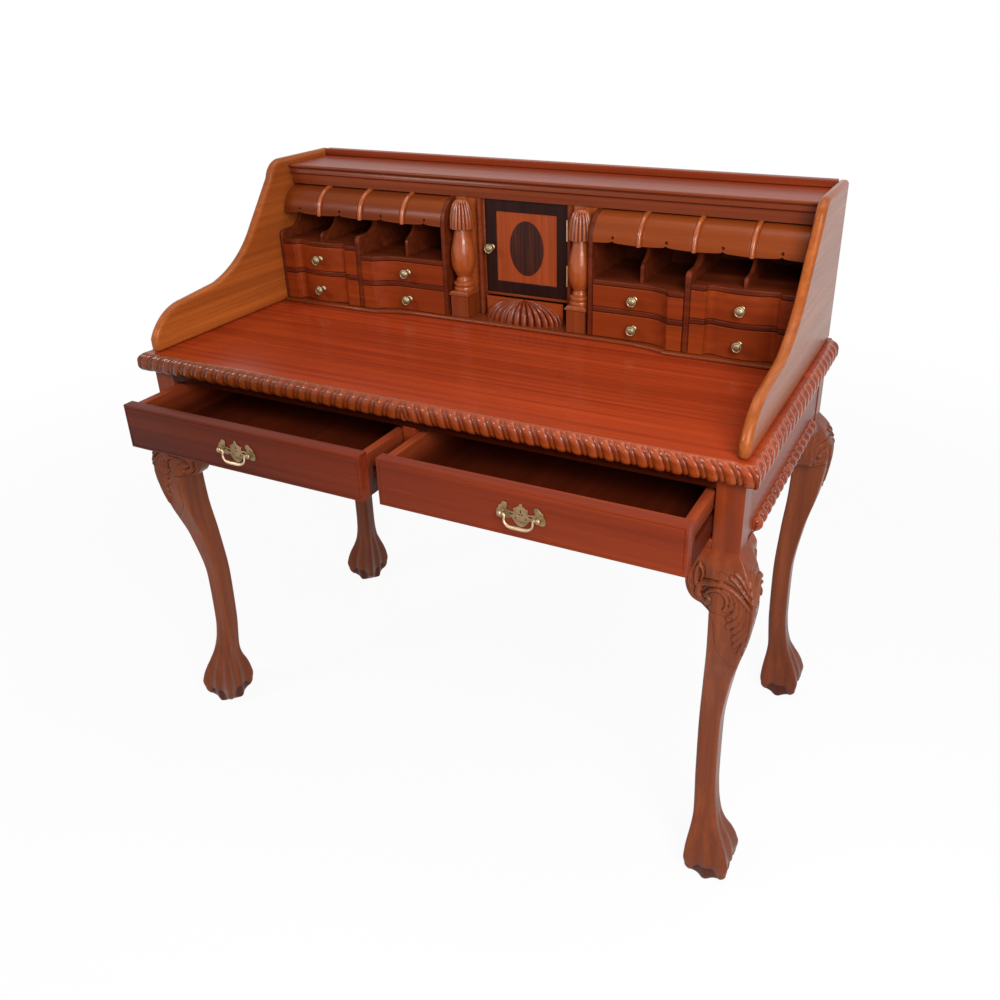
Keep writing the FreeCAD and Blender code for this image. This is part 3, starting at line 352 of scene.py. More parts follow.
def brass(name, tone):
    """Lacquered pale brass, a little duller and greener in patches."""
    shade = Shade(name)
    red, green, blue = tone
    patches = shade.noise(shade.spot, 45.0, 4.0, 0.6)
    scratches = shade.noise(shade.stretched((400.0, 400.0, 60.0)), 2.0, 2.0)
    mixed = shade.blend(patches.spread(0.35, 0.7), (red, green, blue), (red * 0.62, green * 0.68, blue * 0.6))
    return shade.coat(Base_Color=mixed, Metallic=0.9, Roughness=patches.spread(0.2, 0.8, 0.3, 0.46),
                      Normal=shade.bump(scratches, 0.05, 0.3 * MM))


def door_panel_wood():
    """The door's inner panel: straight upright grain with a few small knots."""
    shade = Shade("door panel wood")
    grain = shade.noise(shade.stretched((90.0, 90.0, 3.0)), 1.4, 5.0, 0.6, 0.3)
    knots = shade.noise(shade.stretched((22.0, 22.0, 18.0)), 1.0, 1.0, 0.4)
    body = (0.31, 0.054, 0.014)
    colours = shade.blend(grain.spread(0.3, 0.7), darker(body, 0.86), (0.34, 0.066, 0.017))
    colours = shade.blend(knots.spread(0.70, 0.76, 0.0, 0.7), colours, darker(body, 0.25))
    return shade.coat(Base_Color=colours, Roughness=0.32, Specular_IOR_Level=0.12, Coat_Weight=0.02,
                      Coat_Roughness=0.12, Normal=shade.bump(grain, 0.08, 0.5 * MM))


def oval_wood():
    """Dark veneer with upright streaks."""
    shade = Shade("oval veneer")
    grain = shade.noise(shade.stretched((170.0, 170.0, 5.0)), 1.2, 4.0, 0.6)
    colours = shade.ramp(grain, (
        (0.30, (0.020, 0.007, 0.006)), (0.5, (0.042, 0.012, 0.008)), (0.68, (0.085, 0.024, 0.013))))
    return shade.coat(Base_Color=colours, Roughness=0.34, Specular_IOR_Level=0.12, Coat_Weight=0.02,
                      Coat_Roughness=0.12)


def seen_ray(tree):
    """A socket that is 1 for the camera's rays and for those mirrored or let through by metal and glass."""
    path = tree.nodes.new("ShaderNodeLightPath")
    total = path.outputs["Is Camera Ray"]
    for name in ("Is Glossy Ray", "Is Transmission Ray"):
        add = tree.nodes.new("ShaderNodeMath")
        add.use_clamp = True
        tree.links.new(total, add.inputs[0])
        tree.links.new(path.outputs[name], add.inputs[1])
        total = add.outputs[0]
    return total


def mixed_surface(tree, share, first, second, output):
    """Links a mix of two shaders, by a share, to the output of a tree."""
    mix = tree.nodes.new("ShaderNodeMixShader")
    for socket, value in zip(mix.inputs, (share, first, second)):
        tree.links.new(value, socket)
    tree.links.new(mix.outputs[0], tree.nodes[output].inputs["Surface"])


WOODS = {}


def dress_materials():
    """All finishes by the record's slots, and two more for the aprons and rails, the rails' with a painted
    shadow above the drawers.
    """
    tint = settings().wood
    frame_tone = (0.31, 0.050, 0.013)
    WOODS.update({
        "mahogany_top": wood("writing top wood", tint.top, dark=0.5, light=1.3, streaks=1.15, gloss=0.26,
                             coat=0.08),
        # Painted shade: the drawer fronts darken towards the left, away from the key light.
        "mahogany_front": wood("drawer front wood", tint.front, dark=0.5, streaks=0.9,
                               tint_and_painted_shade=("X", 0.35, -0.5, (0.42, 0.40, 0.38))),
        # The legs' ramp is the wood's own redder tone at the post, not light.
        "mahogany_leg": wood("leg wood", tint.leg, "Z", dark=0.62, light=1.3, coat=0.15, hollow=True,
                             tint_and_painted_shade=("Z", APRON_Z - 30 * MM, APRON_Z + 10 * MM, (1.0, 0.68, 0.45))),
        # Painted shade: the carved edges darken towards the left, away from the key light.
        "mahogany_carved": wood("carved edge wood", (0.37, 0.060, 0.010), dark=0.6, gloss=0.2, coat=0.45,
                                hollow=True, tint_and_painted_shade=("X", 0.25, -0.5, (0.68, 0.84, 0.8))),
        "mahogany_frame": wood("frame wood", frame_tone),
        "side_apron": wood("side apron wood", frame_tone, "Y"),
        # Painted shadow: the front rail is dark above the drawers' top, like shade under the carved edge.
        "front_rail": wood("front rail wood with painted shadow", frame_tone,
                           tint_and_painted_shade=("Z", DRAWER_TOP - 2 * MM, DRAWER_TOP, (0.16, 0.12, 0.12))),
        "mahogany_side": wood("side panel wood", (0.42, 0.105, 0.018), "Y", dark=0.6, gloss=0.26, coat=0.12),
        # Interior wood darker than the frame: partly its own tone, partly painted shade of the pigeonholes.
        "mahogany_inner": wood("interior wood", (0.16, 0.028, 0.008), gloss=0.36),
        # Painted shade: the valances darken towards the left, away from the key light.
        "mahogany_light": wood("valance wood", tint.golden, dark=0.6, streaks=0.7, gloss=0.3, coat=0.04,
                               hollow=True, tint_and_painted_shade=("X", 0.1, -0.45, (0.66, 0.58, 0.48))),
        "mahogany_dark": wood("moulding wood", (0.22, 0.042, 0.011), dark=0.6, gloss=0.28, coat=0.1),
        # Painted shade: the column wood darkens towards the foot of the slide and its pedestal block.
        "mahogany_column": wood("column wood", (0.44, 0.10, 0.020), "Z", dark=0.6, gloss=0.16, coat=0.8,
                                hollow=True,
                                tint_and_painted_shade=("Z", PLINTH_TOP + 60 * MM, PLINTH_TOP + 35 * MM, (0.6, 0.5, 0.45))),
        "mahogany_small": wood("small drawer wood", (0.33, 0.052, 0.009), dark=0.55, streaks=0.8, gloss=0.3),
        "mahogany_panel": door_panel_wood(),
        "oval_veneer": oval_wood(),
        "rosewood_frame": wood("rosewood", tint.rosewood, "Z", dark=0.5, light=1.8),
        # Painted shade: the drawer boxes darken towards their bottoms.
        "oak_inner": wood("drawer box wood", (0.30, 0.052, 0.015), "Y", dark=0.6, gloss=0.4,
                          tint_and_painted_shade=("Z", BOX_TOP, BOX_TOP - 50 * MM, (0.32, 0.26, 0.24))),
        "brass_knob": brass("knob brass", settings().brass.brass),
        "brass_hinge": brass("hinge brass", (0.95, 0.78, 0.42)),
        "brass_plate": brass("plate brass", (0.34, 0.22, 0.12)),
        "brass_bail": brass("bail brass", (0.66, 0.47, 0.31)),
    })


# ---- ways of making a mesh
class Solid:
    """Points and faces of a closed shape, with an optional hollow value for each point."""

    def __init__(self, points, faces, hollow=None):
        self.points = np.asarray(points, float)
        self.faces = faces
        self.hollow = np.zeros(len(self.points)) if hollow is None else np.asarray(hollow, float)

    def mirrored(self):
        """The shape on the other side of the desk's centre plane."""
        flipped = [face[::-1] for face in self.faces]
        return Solid(self.points * (-1, 1, 1), flipped, self.hollow)


def loft(rings, hollow=None):
    """A closed skin through rings of points (ring, point, xyz), with a flat cap at each end.

    Each quad joins two neighbours on one ring to the same two on the next. The skin is turned right
    way out by the sign of its volume.
    """
    rings = np.asarray(rings, float)
    count, around = rings.shape[:2]
    index = np.arange(count * around).reshape(count, around)
    after = np.roll(index, -1, axis=1)
    quads = points_at(index[:-1], after[:-1], after[1:], index[1:]).reshape(-1, 4)
    faces = quads.tolist() + [index[0, ::-1].tolist(), index[-1].tolist()]
    points = rings.reshape(-1, 3)
    corner = points[quads] - points.mean(axis=0)
    volume = corner[:, 0] * np.cross(corner[:, 2], corner[:, 3] - corner[:, 1])
    if volume.sum() < 0:
        faces = [face[::-1] for face in faces]
    return Solid(points, faces, None if hollow is None else np.asarray(hollow, float).reshape(-1))


def joined(solids):
    """Several shapes as one."""
    faces, start = [], 0
    for solid in solids:
        faces += [[corner + start for corner in face] for face in solid.faces]
        start += len(solid.points)
    return Solid(np.concatenate([solid.points for solid in solids]), faces,
                 np.concatenate([solid.hollow for solid in solids]))


def in_place(name, mesh, body, slot, replaces, smooth, finish=None):
    """A mesh as an object on a body, in the finish of its slot or another, that stands for frame nodes."""
    mesh.shade_smooth()
    mesh.set_sharp_from_angle(angle=math.radians(smooth))
    mesh.materials.clear()
    mesh.materials.append(WOODS[finish or slot])
    item = bpy.data.objects.new(name, mesh)
    bpy.context.scene.collection.objects.link(item)
    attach(item, body)
    if replaces:
        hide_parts(*replaces)
    return item


def with_mirror(solids):
    """The shapes, and the same on the other side of the desk."""
    return list(solids) + [solid.mirrored() for solid in solids]


def piece(name, solids, body, slot, replaces, smooth, merge=0.0):
    """Puts shapes into one object that rides on a body, in the finish of a slot."""
    solid = joined(solids)
    mesh = bpy.data.meshes.new(name)
    mesh.from_pydata(solid.points.tolist(), [], solid.faces)
    # The hollow values become a point attribute that the wood darkens as painted shade.
    if solid.hollow.any():
        values = solid.hollow.astype(np.float32)
        mesh.attributes.new("hollow", "FLOAT", "POINT").data.foreach_set("value", values)
    if merge:
        work = bmesh.new()
        work.from_mesh(mesh)
        bmesh.ops.remove_doubles(work, verts=work.verts, dist=merge)
        bmesh.ops.dissolve_degenerate(work, dist=merge, edges=work.edges)
        work.to_mesh(mesh)
        work.free()
    mesh.update()
    in_place(name, mesh, body, slot, replaces, smooth)


def eased(node, width, segments, finish=None):
    """A frame node with merged points and softly rounded edges, in the finish of its slot or another."""
    work = bmesh.new()
    work.from_mesh(NODES[node].data)
    bmesh.ops.remove_doubles(work, verts=work.verts, dist=0.002 * MM)
    bmesh.ops.dissolve_limit(work, angle_limit=math.radians(0.6), verts=work.verts, edges=work.edges)
    mesh = bpy.data.meshes.new(f"eased_{node}")
    work.to_mesh(mesh)
    work.free()
    item = in_place(mesh.name, mesh, NODES[node]["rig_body"], SLOTS[node], (node,), 35, finish)
    bevel = item.modifiers.new("eased edges", "BEVEL")
    bevel.width = width
    bevel.segments = segments
    bevel.angle_limit = math.radians(32)


def smoothly(value, start, stop):
    """0 before start and 1 after stop, with a level start and end between."""
    share = np.clip((value - start) / (stop - start), 0.0, 1.0)
    return share * share * (3 - 2 * share)


def flowing(stations, values, at):
    """A smooth line through values: cubics whose slope at a station is the harmonic mean of its two sides."""
    stations, values = np.asarray(stations, float), np.asarray(values, float)
    step = np.diff(stations)
    rise = np.diff(values) / step
    slope = np.zeros(len(values))
    same = rise[:-1] * rise[1:] > 0
    slope[1:-1][same] = 2 * rise[:-1][same] * rise[1:][same] / (rise[:-1][same] + rise[1:][same])
    slope[0], slope[-1] = rise[0], rise[-1]
    index = np.clip(np.searchsorted(stations, at) - 1, 0, len(step) - 1)
    share = (np.clip(at, stations[0], stations[-1]) - stations[index]) / step[index]
    rest = 1 - share
    lift = step[index] * share * rest * (slope[index] * rest - slope[index + 1] * share)
    ease = share * share * (3 - 2 * share)
    return values[index] * (1 - ease) + values[index + 1] * ease + lift


def curve_through(points, count):
    """Evenly numbered points on a smooth line through a few (a, b) points."""
    points = np.asarray(points, float)
    at = np.linspace(0, len(points) - 1, count)
    return np.stack([flowing(np.arange(len(points)), column, at) for column in points.T], axis=-1)


def distance_to(path, across, up):
    """Distance from each (across, up) to a line of points, and how far along the line the nearest spot is."""
    best = np.full(np.broadcast(across, up).shape, np.inf)
    share = np.zeros_like(best)
    for index, (start, stop) in enumerate(zip(path[:-1], path[1:])):
        run = stop - start
        aside, above = across - start[0], up - start[1]
        spot = np.clip((aside * run[0] + above * run[1]) / max(run @ run, 1e-12), 0, 1)
        far = np.hypot(aside - spot * run[0], above - spot * run[1])
        nearer = far < best
        best = np.where(nearer, far, best)
        share = np.where(nearer, (index + spot) / (len(path) - 1), share)
    return best, share


def turned_solid(profile, centre, around, upright=False, flute=None):
    """A turned shape: (radius, distance) points spun round an axis that is upright or points to the user.

    flute(angle, distance) is taken off the radius.
    """
    radii, far = np.asarray(profile, float).T[..., None]
    angle = np.linspace(0, 2 * math.pi, around, endpoint=False)
    radius = np.maximum(radii * np.ones(around), LEAST_RADIUS)
    cut = np.zeros_like(radius) if flute is None else flute(angle[None, :], far)
    radius = np.maximum(radius - cut, LEAST_RADIUS)
    across, other = radius * np.cos(angle), radius * np.sin(angle)
    rings = points_at(across, other, far) if upright else points_at(across, -far, other)
    # The flute depth is stored as hollow: painted shade in the flutes.
    return loft(rings + np.asarray(centre), np.clip(cut / (1.5 * MM), 0, 1))


def board(low_corner, high_corner):
    """A plain board between two corners."""
    (x0, y0, z0), (x1, y1, z1) = low_corner, high_corner
    return loft([[(x0, y0, z), (x1, y0, z), (x1, y1, z), (x0, y1, z)] for z in (z0, z1)])


def back_centre(node):
    """The middle of the back of a frame node's box."""
    first, last = low(node), high(node)
    return np.array([(first[0] + last[0]) / 2, last[1], (first[2] + last[2]) / 2])


# ---- cabriole legs
LEG_SECTIONS = (  # level, width, outward lean in millimetres, and corner rounding by the width
    (0, 65, 14.5, 0.42), (4, 68, 15, 0.34), (10, 70.5, 15.5, 0.22), (20, 72, 15.5, 0.12),
    (40, 72.5, 15.5, 0.08), (56, 70, 14, 0.08), (78, 61, 11, 0.10), (100, 49, 7, 0.14), (125, 40, 3, 0.2),
    (160, 36, -1.5, 0.24), (200, 34.5, -4.2, 0.22), (300, 34, -5.6, 0.16), (400, 41, 2.2, 0.12),
    (480, 53.5, 14, 0.09), (550, 61, 18.5, 0.09), (579, 61.5, 17.5, 0.09), (610, 55.5, 12.5, 0.1),
    (637, 41, 0, 0.03))
FORE_LESS = 4.5 * MM  # how much less a leg leans to the front or back than to the side
FRONT_FOOT_SHARE, BACK_FOOT_SHARE = 0.0, 0.45  # the same lean of a foot, as a share of its lean to the side
EAR_BACK = 0.5 * MM  # where the back of an ear is, from the middle of the post
EAR_PROUD = 7.6 * MM  # how far an ear stands out of the face of the post
EAR_END = (  # level and end of an ear in millimetres, from the middle of the post
    (547, -23), (548.5, -33), (552, -41), (557, -46), (565, -50.5), (577, -53.5), (595, -54.5), (637, -54.5))
SCROLLS = (  # path of (across, level), half width, height share, groove share, taper
    (((-28, 558), (-33, 565), (-32, 576), (-22, 587), (-9, 593.5), (3, 594.5), (13, 592.5), (23, 588),
      (33, 581), (42.5, 571), (51, 560)), 5.2, 1.0, 0.9, 0.45),
    (((-33, 565), (-28, 558), (-20, 557), (-14.5, 560), (-14, 566), (-18, 569), (-22, 566)),
     4.4, 1.1, 0.5, 0.2),
    (((-20, 570), (-16, 577), (-9, 584), (-2, 586.5), (5, 584.5), (10.5, 580), (13.8, 573), (13.7, 564),
      (11, 557)), 2.9, 0.9, 0.9, 0.1),
    (((8, 588), (16.5, 583), (21, 574), (20.5, 564), (15.5, 557)), 4.4, 0.85, 0.5, 0.15),
    (((21, 585), (28.4, 575), (29.2, 564.5), (26, 553), (18.5, 543.5)), 5.4, 0.9, 0.5, 0.15),
    (((28, 580), (35, 567), (34.6, 553), (29, 540.5), (19, 530)), 5.6, 0.85, 0.5, 0.15),
    (((36.5, 572), (40, 554.5), (36.5, 538), (27.5, 523)), 5.4, 0.8, 0.5, 0.15),
    (((42, 564), (43.5, 542), (38.5, 525), (28, 509)), 5.2, 0.75, 0.5, 0.15),
    (((46.5, 550), (45, 530), (39.5, 515), (29, 496)), 5.0, 0.7, 0.5, 0.2),
    (((47.5, 534), (44, 511.5), (35, 481)), 4.6, 0.65, 0.5, 0.4),
    (((15, 607.5), (25, 601), (34, 592), (44, 581.5), (51.5, 572)), 3.0, 0.65, 0.9, 0.4),
    (((20, 614.5), (31, 606.5), (39, 596.5), (47, 586)), 2.4, 0.5, 0.8, 0.4),
    (((-33, 613), (-28.5, 606), (-27, 598), (-29.5, 589)), 2.6, 1.0, 0.7, 0.2),
    (((-33, 613), (-37, 602), (-38, 591), (-36.5, 580), (-30, 571)), 3.2, 0.8, 0.7, 0.1),
    (((-45, 610), (-47, 596), (-47, 580), (-42, 566)), 2.6, 0.6, 0.6, 0.3),
)
GROOVES = (  # path of (across, level) and half width
    (((-17, 552), (-11.6, 543), (-6.5, 534), (-3.2, 519), (-1.8, 501), (0.5, 483), (6.3, 471.5), (13.7, 460),
      (24, 451), (38, 446)), 1.2),
    (((-8, 609.5), (0, 612), (10, 608.5)), 1.0),
    (((-33, 608), (-33, 600), (-33.5, 592), (-34, 584)), 1.1),
)


def knee_relief(across, up):
    """Height of the carving on a knee face: the tallest of the scrolls and leaves, less the grooves.

    A stroke is round across: height times the root of 1 less (distance / half width) squared, and it
    tapers to its end. Its groove is a narrow bell curve just outside the stroke. A crease is cut where
    two strokes are equally tall. Also returns how hollow each place is.
    """
    height, second, groove = np.zeros((3,) + across.shape)
    for path, wide, share, deep, taper in SCROLLS:
        far, along = distance_to(curve_through(np.array(path) * MM, 4 * len(path)), across, up)
        half = wide * MM * (1 - taper * along)
        tall = settings().leg.scroll_height * share
        stroke = tall * np.sqrt(np.clip(1 - (far / half) ** 2, 0, 1))
        second = np.maximum(second, np.minimum(height, stroke))
        height = np.maximum(height, stroke)
        groove = np.maximum(groove, tall * deep * 0.5 * np.exp(-((far - half * 1.1) / MM) ** 2))
    groove = groove * (1 - smoothly(height, 0.1 * MM, 0.9 * MM))
    crease = np.exp(-((height - second) / (0.45 * MM)) ** 2) * smoothly(second, 0.2 * MM, MM)
    for path, wide in GROOVES:
        far, _ = distance_to(curve_through(np.array(path) * MM, 4 * len(path)), across, up)
        groove = np.maximum(groove, 1.2 * MM * np.exp(-(far / (wide * MM)) ** 2))
    # The second value is painted shade: grooves and creases come out darker.
    return height - 0.9 * MM * crease - groove, np.clip(groove / (2.2 * MM) + 0.4 * crease, 0, 1)


def right_angled_ring(corners, radii, edges, arcs):
    """Rounded right-angled outlines, one for each level: straight runs and quarter circles between them.

    The first and the last corner turn half way only. Returns points (level, point, 2) and outward
    directions alike.
    """
    first, last = (0.0, 1.0), (1.0, 0.0)
    runs = np.diff(corners, axis=1)
    arriving = np.concatenate([np.broadcast_to(first, runs[:, :1].shape), unit(runs, first)], axis=1)
    leaving = np.concatenate([unit(runs, last), np.broadcast_to(last, runs[:, :1].shape)], axis=1)
    points, outward = [], []
    for index, count in enumerate(arcs):
        spot, radius = corners[:, index, None], radii[:, index, None, None]
        into, out = arriving[:, index, None], leaving[:, index, None]
        turn = np.radians(np.linspace(0 if index else 45, 90 if index < len(edges) else 45, count))[:, None]
        direction = into * np.sin(turn) - out * np.cos(turn)
        points.append(spot - radius * into + radius * out + radius * direction)
        outward.append(direction)
        if index < len(edges):
            start = spot + radius * out
            stop = corners[:, index + 1, None] - radii[:, index + 1, None, None] * out
            share = np.linspace(0, 1, edges[index] + 2)[1:-1, None]
            points.append(start + (stop - start) * share)
            outward.append(np.repeat(direction[:, -1:], len(share), axis=1))
    return np.concatenate(points, axis=1), np.concatenate(outward, axis=1)


def unit(value, fallback):
    """Directions of length 1, or the fallback where a run has no length."""
    long = np.linalg.norm(value, axis=-1, keepdims=True)
    return np.where(long > 1e-9, value / np.maximum(long, 1e-9), fallback)


def half_leg(levels, size, along_lean, out_lean, rounding):
    """Half of a leg's rings, from its outer corner along one face and its ear to the inner corner.

    The first coordinate runs outwards along the face and the second out of the face, both from the
    middle of the post. The carved relief pushes the face out or in.
    """
    half = size / 2
    inner, face = along_lean - half, out_lean + half
    corner = np.where(levels >= APRON_Z - 1e-6, 1.0 * MM, rounding * size)
    ear_levels, ear_ends = (np.array(column) * MM for column in zip(*EAR_END))
    has_ear = (levels >= ear_levels[0]) & ~is_post(levels)
    end = np.where(has_ear, np.minimum(flowing(ear_levels, ear_ends, levels), inner - 0.01 * MM), inner)
    reach = inner - end
    back = np.where(has_ear, EAR_BACK, out_lean + 0.2 * half)
    corners = np.stack([points_at(*spot) for spot in ((along_lean + half, face), (end, face), (end, back),
                                                      (inner, back), (inner, out_lean - half))], axis=1)
    ear_round = np.maximum(np.minimum(5 * MM, np.maximum(corner - reach, reach * 0.45)), 3 * MM)
    radii = np.stack([corner, np.where(has_ear, ear_round, corner),
                      np.where(has_ear, np.minimum(3 * MM, reach * 0.45), 0),
                      np.where(has_ear, np.minimum(2 * MM, reach * 0.45), 0), corner], axis=1)
    points, outward = right_angled_ring(corners, radii, (62, 8, 5, 22), (6, 8, 3, 3, 5))
    across, out = points[..., 0], points[..., 1]
    up = np.broadcast_to(levels[:, None], across.shape)
    ear_share = smoothly(inner[:, None] + 9 * MM - across, 0.0, 26 * MM) * has_ear[:, None]
    ear_face = POST / 2 + EAR_PROUD * smoothly(APRON_Z - up, -2 * MM, 16 * MM)
    rear = back[:, None]
    pressed = rear + (out - rear) * (1 - ear_share * (face[:, None] - ear_face) / (face[:, None] - rear))
    out = np.where((out > rear) & has_ear[:, None], pressed, out)
    relief, dark = knee_relief(across, up)
    fade = smoothly(up, 440 * MM, 450 * MM) * smoothly(APRON_Z - up, -1 * MM, 5 * MM)
    fade = np.where(is_post(up), 0.0, fade * smoothly(outward[..., 1], 0.66, 0.82))
    return points_at(across, out) + outward * (relief * fade)[..., None], dark * fade


def is_post(levels):
    """Whether a level belongs to the square post above the knee."""
    return levels > APRON_Z + 1e-6


def claw_foot(points, levels, centre):
    """The claw and ball: every point moves along its radius from the foot's axis.

    Ridges run down the corners and, lower, down the middle of each face. Under an arch between two
    toes the radius is that of a ball, and the toes turn in over it near the floor.
    """
    sizes = settings().leg
    ball_radius, ball_level, tip = 40 * MM, 24 * MM, 8 * MM
    away = points - centre[:, None]
    radius = np.linalg.norm(away, axis=-1)
    angle = np.arctan2(away[..., 1], away[..., 0])
    up = np.broadcast_to(levels[:, None], radius.shape)
    corner = np.sin(2 * angle) ** 2
    middle = 1 - corner
    between = np.sin(4 * angle) ** 2
    spread = smoothly(150 * MM - up, 0, 90 * MM)
    ridge = sizes.ridge_height * (corner ** 5 * 0.8 + 0.6 * middle ** 5 - 1.3 * between)
    knuckle = 1.2 * MM * np.exp(-((up - 42 * MM) / (10 * MM)) ** 2)
    knuckle -= 1.0 * MM * np.exp(-((up - 26 * MM) / (6 * MM)) ** 2)
    turned_in = tip * corner ** 2 * np.clip(1 - up / ball_level, 0, 1) ** 1.2
    web = radius + ridge * spread + knuckle * corner ** 3 - turned_in
    arch = tip + (sizes.arch - tip) * (1 - corner ** 3.6)
    ball = np.sqrt(np.clip(ball_radius ** 2 - (ball_level - up) ** 2, (10 * MM) ** 2, None))
    under = np.minimum(web - 3 * MM, ball)
    low_down = up < 60 * MM
    share = smoothly(up, arch - 1.2 * MM, arch + 1.2 * MM)
    shaped = np.where(low_down, under + (web - under) * share, web)
    shaped = np.where(up < 170 * MM, shaped, radius)
    edge = np.exp(-((up - arch) / (2.0 * MM)) ** 2) * smoothly(middle, 0.0, 0.15)
    # Painted shade: dark under the arches, along their edges and between the toe ridges above them.
    hollow = 0.72 * (1 - share) * low_down + 0.5 * edge + 0.26 * spread * between * (up > arch)
    return centre[:, None] + away * (shaped / radius)[..., None], np.clip(hollow, 0, 1)


def leg_solid(side, end):
    """A leg: rings from the sole up through claw, shank and carved knee to the top of its post."""
    levels = np.concatenate([np.linspace(*span) for span in (
        (0, 64, 42), (66, 160, 24), (168, 440, 36), (442, 545.9, 74), (546.01, 560, 16), (561.2, 636.9, 62))])
    levels = np.concatenate([levels * MM, [APRON_Z, APRON_Z + 2e-6, TOP_UNDER]])
    stations, widths, leans, corners = np.array(LEG_SECTIONS).T
    rounding = flowing(stations * MM, corners, levels)
    size = np.where(is_post(levels), POST, flowing(stations * MM, widths * MM, levels))
    lean = np.where(is_post(levels), 0.0, flowing(stations * MM, leans * MM, levels))
    knee_lean = lean - FORE_LESS * np.where(levels < APRON_Z - 40 * MM, 1.0, lean / (17.5 * MM))
    foot = 1 - smoothly(levels, 78 * MM, 125 * MM)
    foot_share = BACK_FOOT_SHARE if end > 0 else FRONT_FOOT_SHARE
    out_lean = np.where(is_post(levels), 0.0, knee_lean * (1 - foot) + lean * foot_share * foot)
    fore, fore_hollow = half_leg(levels, size, lean, out_lean, rounding)
    beside, beside_hollow = half_leg(levels, size, out_lean, lean, rounding)
    ring = np.concatenate([fore, beside[:, ::-1, ::-1][:, 1:-1]], axis=1)
    hollow = np.concatenate([fore_hollow, beside_hollow[:, ::-1][:, 1:-1]], axis=1)
    ring, low_hollow = claw_foot(ring, levels, points_at(lean, out_lean))
    middle_y = BACK_Y - POST / 2 if end > 0 else FACE_Y + POST / 2
    rings = points_at(side * (POST_X + ring[..., 0]), middle_y + end * ring[..., 1], levels[:, None])
    return loft(rings, np.maximum(hollow, low_hollow))


# ---- gadrooned edges
def lobe_depth(phase):
    """Depth of a gadroon at a place in its repeat, as a share: a wide round lobe, then a narrow one."""
    phase = phase % 1.0
    split = 0.66
    wide = np.sqrt(np.clip(1 - (phase / split * 2 - 1) ** 2, 0, 1))
    slim = 0.62 * np.sqrt(np.clip(1 - ((phase - split) / (1 - split) * 2 - 1) ** 2, 0, 1))
    return 1 - np.where(phase < split, wide, slim)


def shares(line):
    """How far along a line of points each point is, from 0 to 1."""
    step = np.concatenate([[0], np.cumsum(np.linalg.norm(np.diff(line, axis=0), axis=1))])
    return step / step[-1]


def carved_moulding(along, line, centre, lean, spacing, depth, fade):
    """Sections of a moulding pushed in towards a centre by its lobes, and how hollow they are.

    The lobes lean along the run and mirror about its middle. Points are (place along, point, 2).
    """
    cut = depth * lobe_depth((np.abs(along) - lean) / spacing) * fade
    inward = centre - line
    inward /= np.linalg.norm(inward, axis=1, keepdims=True)
    # The cut becomes a hollow share: painted shade in the grooves between lobes.
    return line + inward * cut[..., None], np.clip(cut / settings().edge.depth * 1.1, 0, 1)


def top_gadroon():
    """The carved moulding round three sides of the writing top, mitred at the front corners.

    Its section is two quarter circles joined by a short upright.
    """
    sizes = settings().edge
    foot = TOP_UNDER - sizes.drop
    tall, round_radius = TOP_Z - foot, 12.5 * MM
    turn = np.radians(np.linspace(0, 90, 7))
    inwards, drop = round_radius * (1 - np.sin(turn)), round_radius * (1 - np.cos(turn))
    flat = (MOULDING + round_radius) / 2
    line = np.concatenate([[(MOULDING, tall), (flat, tall)], points_at(inwards, tall - drop),
                           points_at(drop, inwards), [(flat, 0.0), (MOULDING, 0.0)]])
    share = shares(line)
    centre = line.max(axis=0) * (1, 0.5)
    lean = sizes.lean * (1 - (1 - share) ** 1.8)
    fade = smoothly(share, 0.06, 0.2) * smoothly(1 - share, 0.02, 0.12)

    def sections(along, lean_share):
        """The sections along a run as (inwards, level, hollow)."""
        section, hollow = carved_moulding(along, line, centre, lean * lean_share, sizes.top_lobe,
                                          sizes.depth, fade)
        return section[..., 0], foot + section[..., 1], hollow

    along = np.linspace(-HALF_TOP, HALF_TOP, 1000)[:, None]
    inwards, up, hollow = sections(along, 1)
    front = loft(points_at(along * (HALF_TOP - inwards) / HALF_TOP, TOP_FRONT + inwards, up), hollow)
    run = high("top_gadroon")[1] - TOP_FRONT
    along = np.linspace(0, run, 560)[:, None]
    inwards, up, hollow = sections(along, -0.4)
    rounding = 0.35 + 0.65 * smoothly(run - along, 0, 9 * MM)
    side = loft(points_at(HALF_TOP - MOULDING + (MOULDING - inwards) * rounding,
                          TOP_FRONT + inwards + along * (run - inwards) / run, up), hollow)
    return [front] + with_mirror([side])


def apron_gadroons():
    """The carved mouldings below the side aprons, mirrored about the middle of each side."""
    sizes = settings().edge
    first, last = low("apron_gadroons"), high("apron_gadroons")
    proud, round_radius, tall = 12 * MM, 10 * MM, last[2] - first[2]
    turn = np.radians(np.linspace(0, 90, 8))
    upper = points_at(MM + (proud - MM) * np.sin(turn), tall - tall * 0.45 * (1 - np.cos(turn)))
    lower = points_at(proud - round_radius * (1 - np.cos(turn)), round_radius * (1 - np.sin(turn)))
    line = np.concatenate([[(0.0, tall)], upper, lower, [(0.0, 0.0)]])
    share = shares(line)
    half = (last[1] - first[1]) / 2
    along = np.linspace(-half, half, 620)[:, None]
    section, hollow = carved_moulding(
        along, line, np.array([0.0, tall / 2]), 7 * MM * share - 0.17 * sizes.apron_lobe, sizes.apron_lobe,
        sizes.depth * 1.25, smoothly(share, 0.04, 0.16) * smoothly(1 - share, 0.02, 0.1))
    end = 0.45 + 0.55 * smoothly(half - np.abs(along), 0, 10 * MM)
    rings = points_at(last[0] - proud + section[..., 0] * end, (first[1] + last[1]) / 2 + along,
                      first[2] + section[..., 1])
    return with_mirror([loft(rings, hollow)])


# ---- valances, shell and columns
def arc_points(axis_y, axis_z, radius, angle):
    """Points (y, z) round an axis along x, at a radius and an angle above the front."""
    return points_at(axis_y - radius * np.cos(angle), axis_z + radius * np.sin(angle))


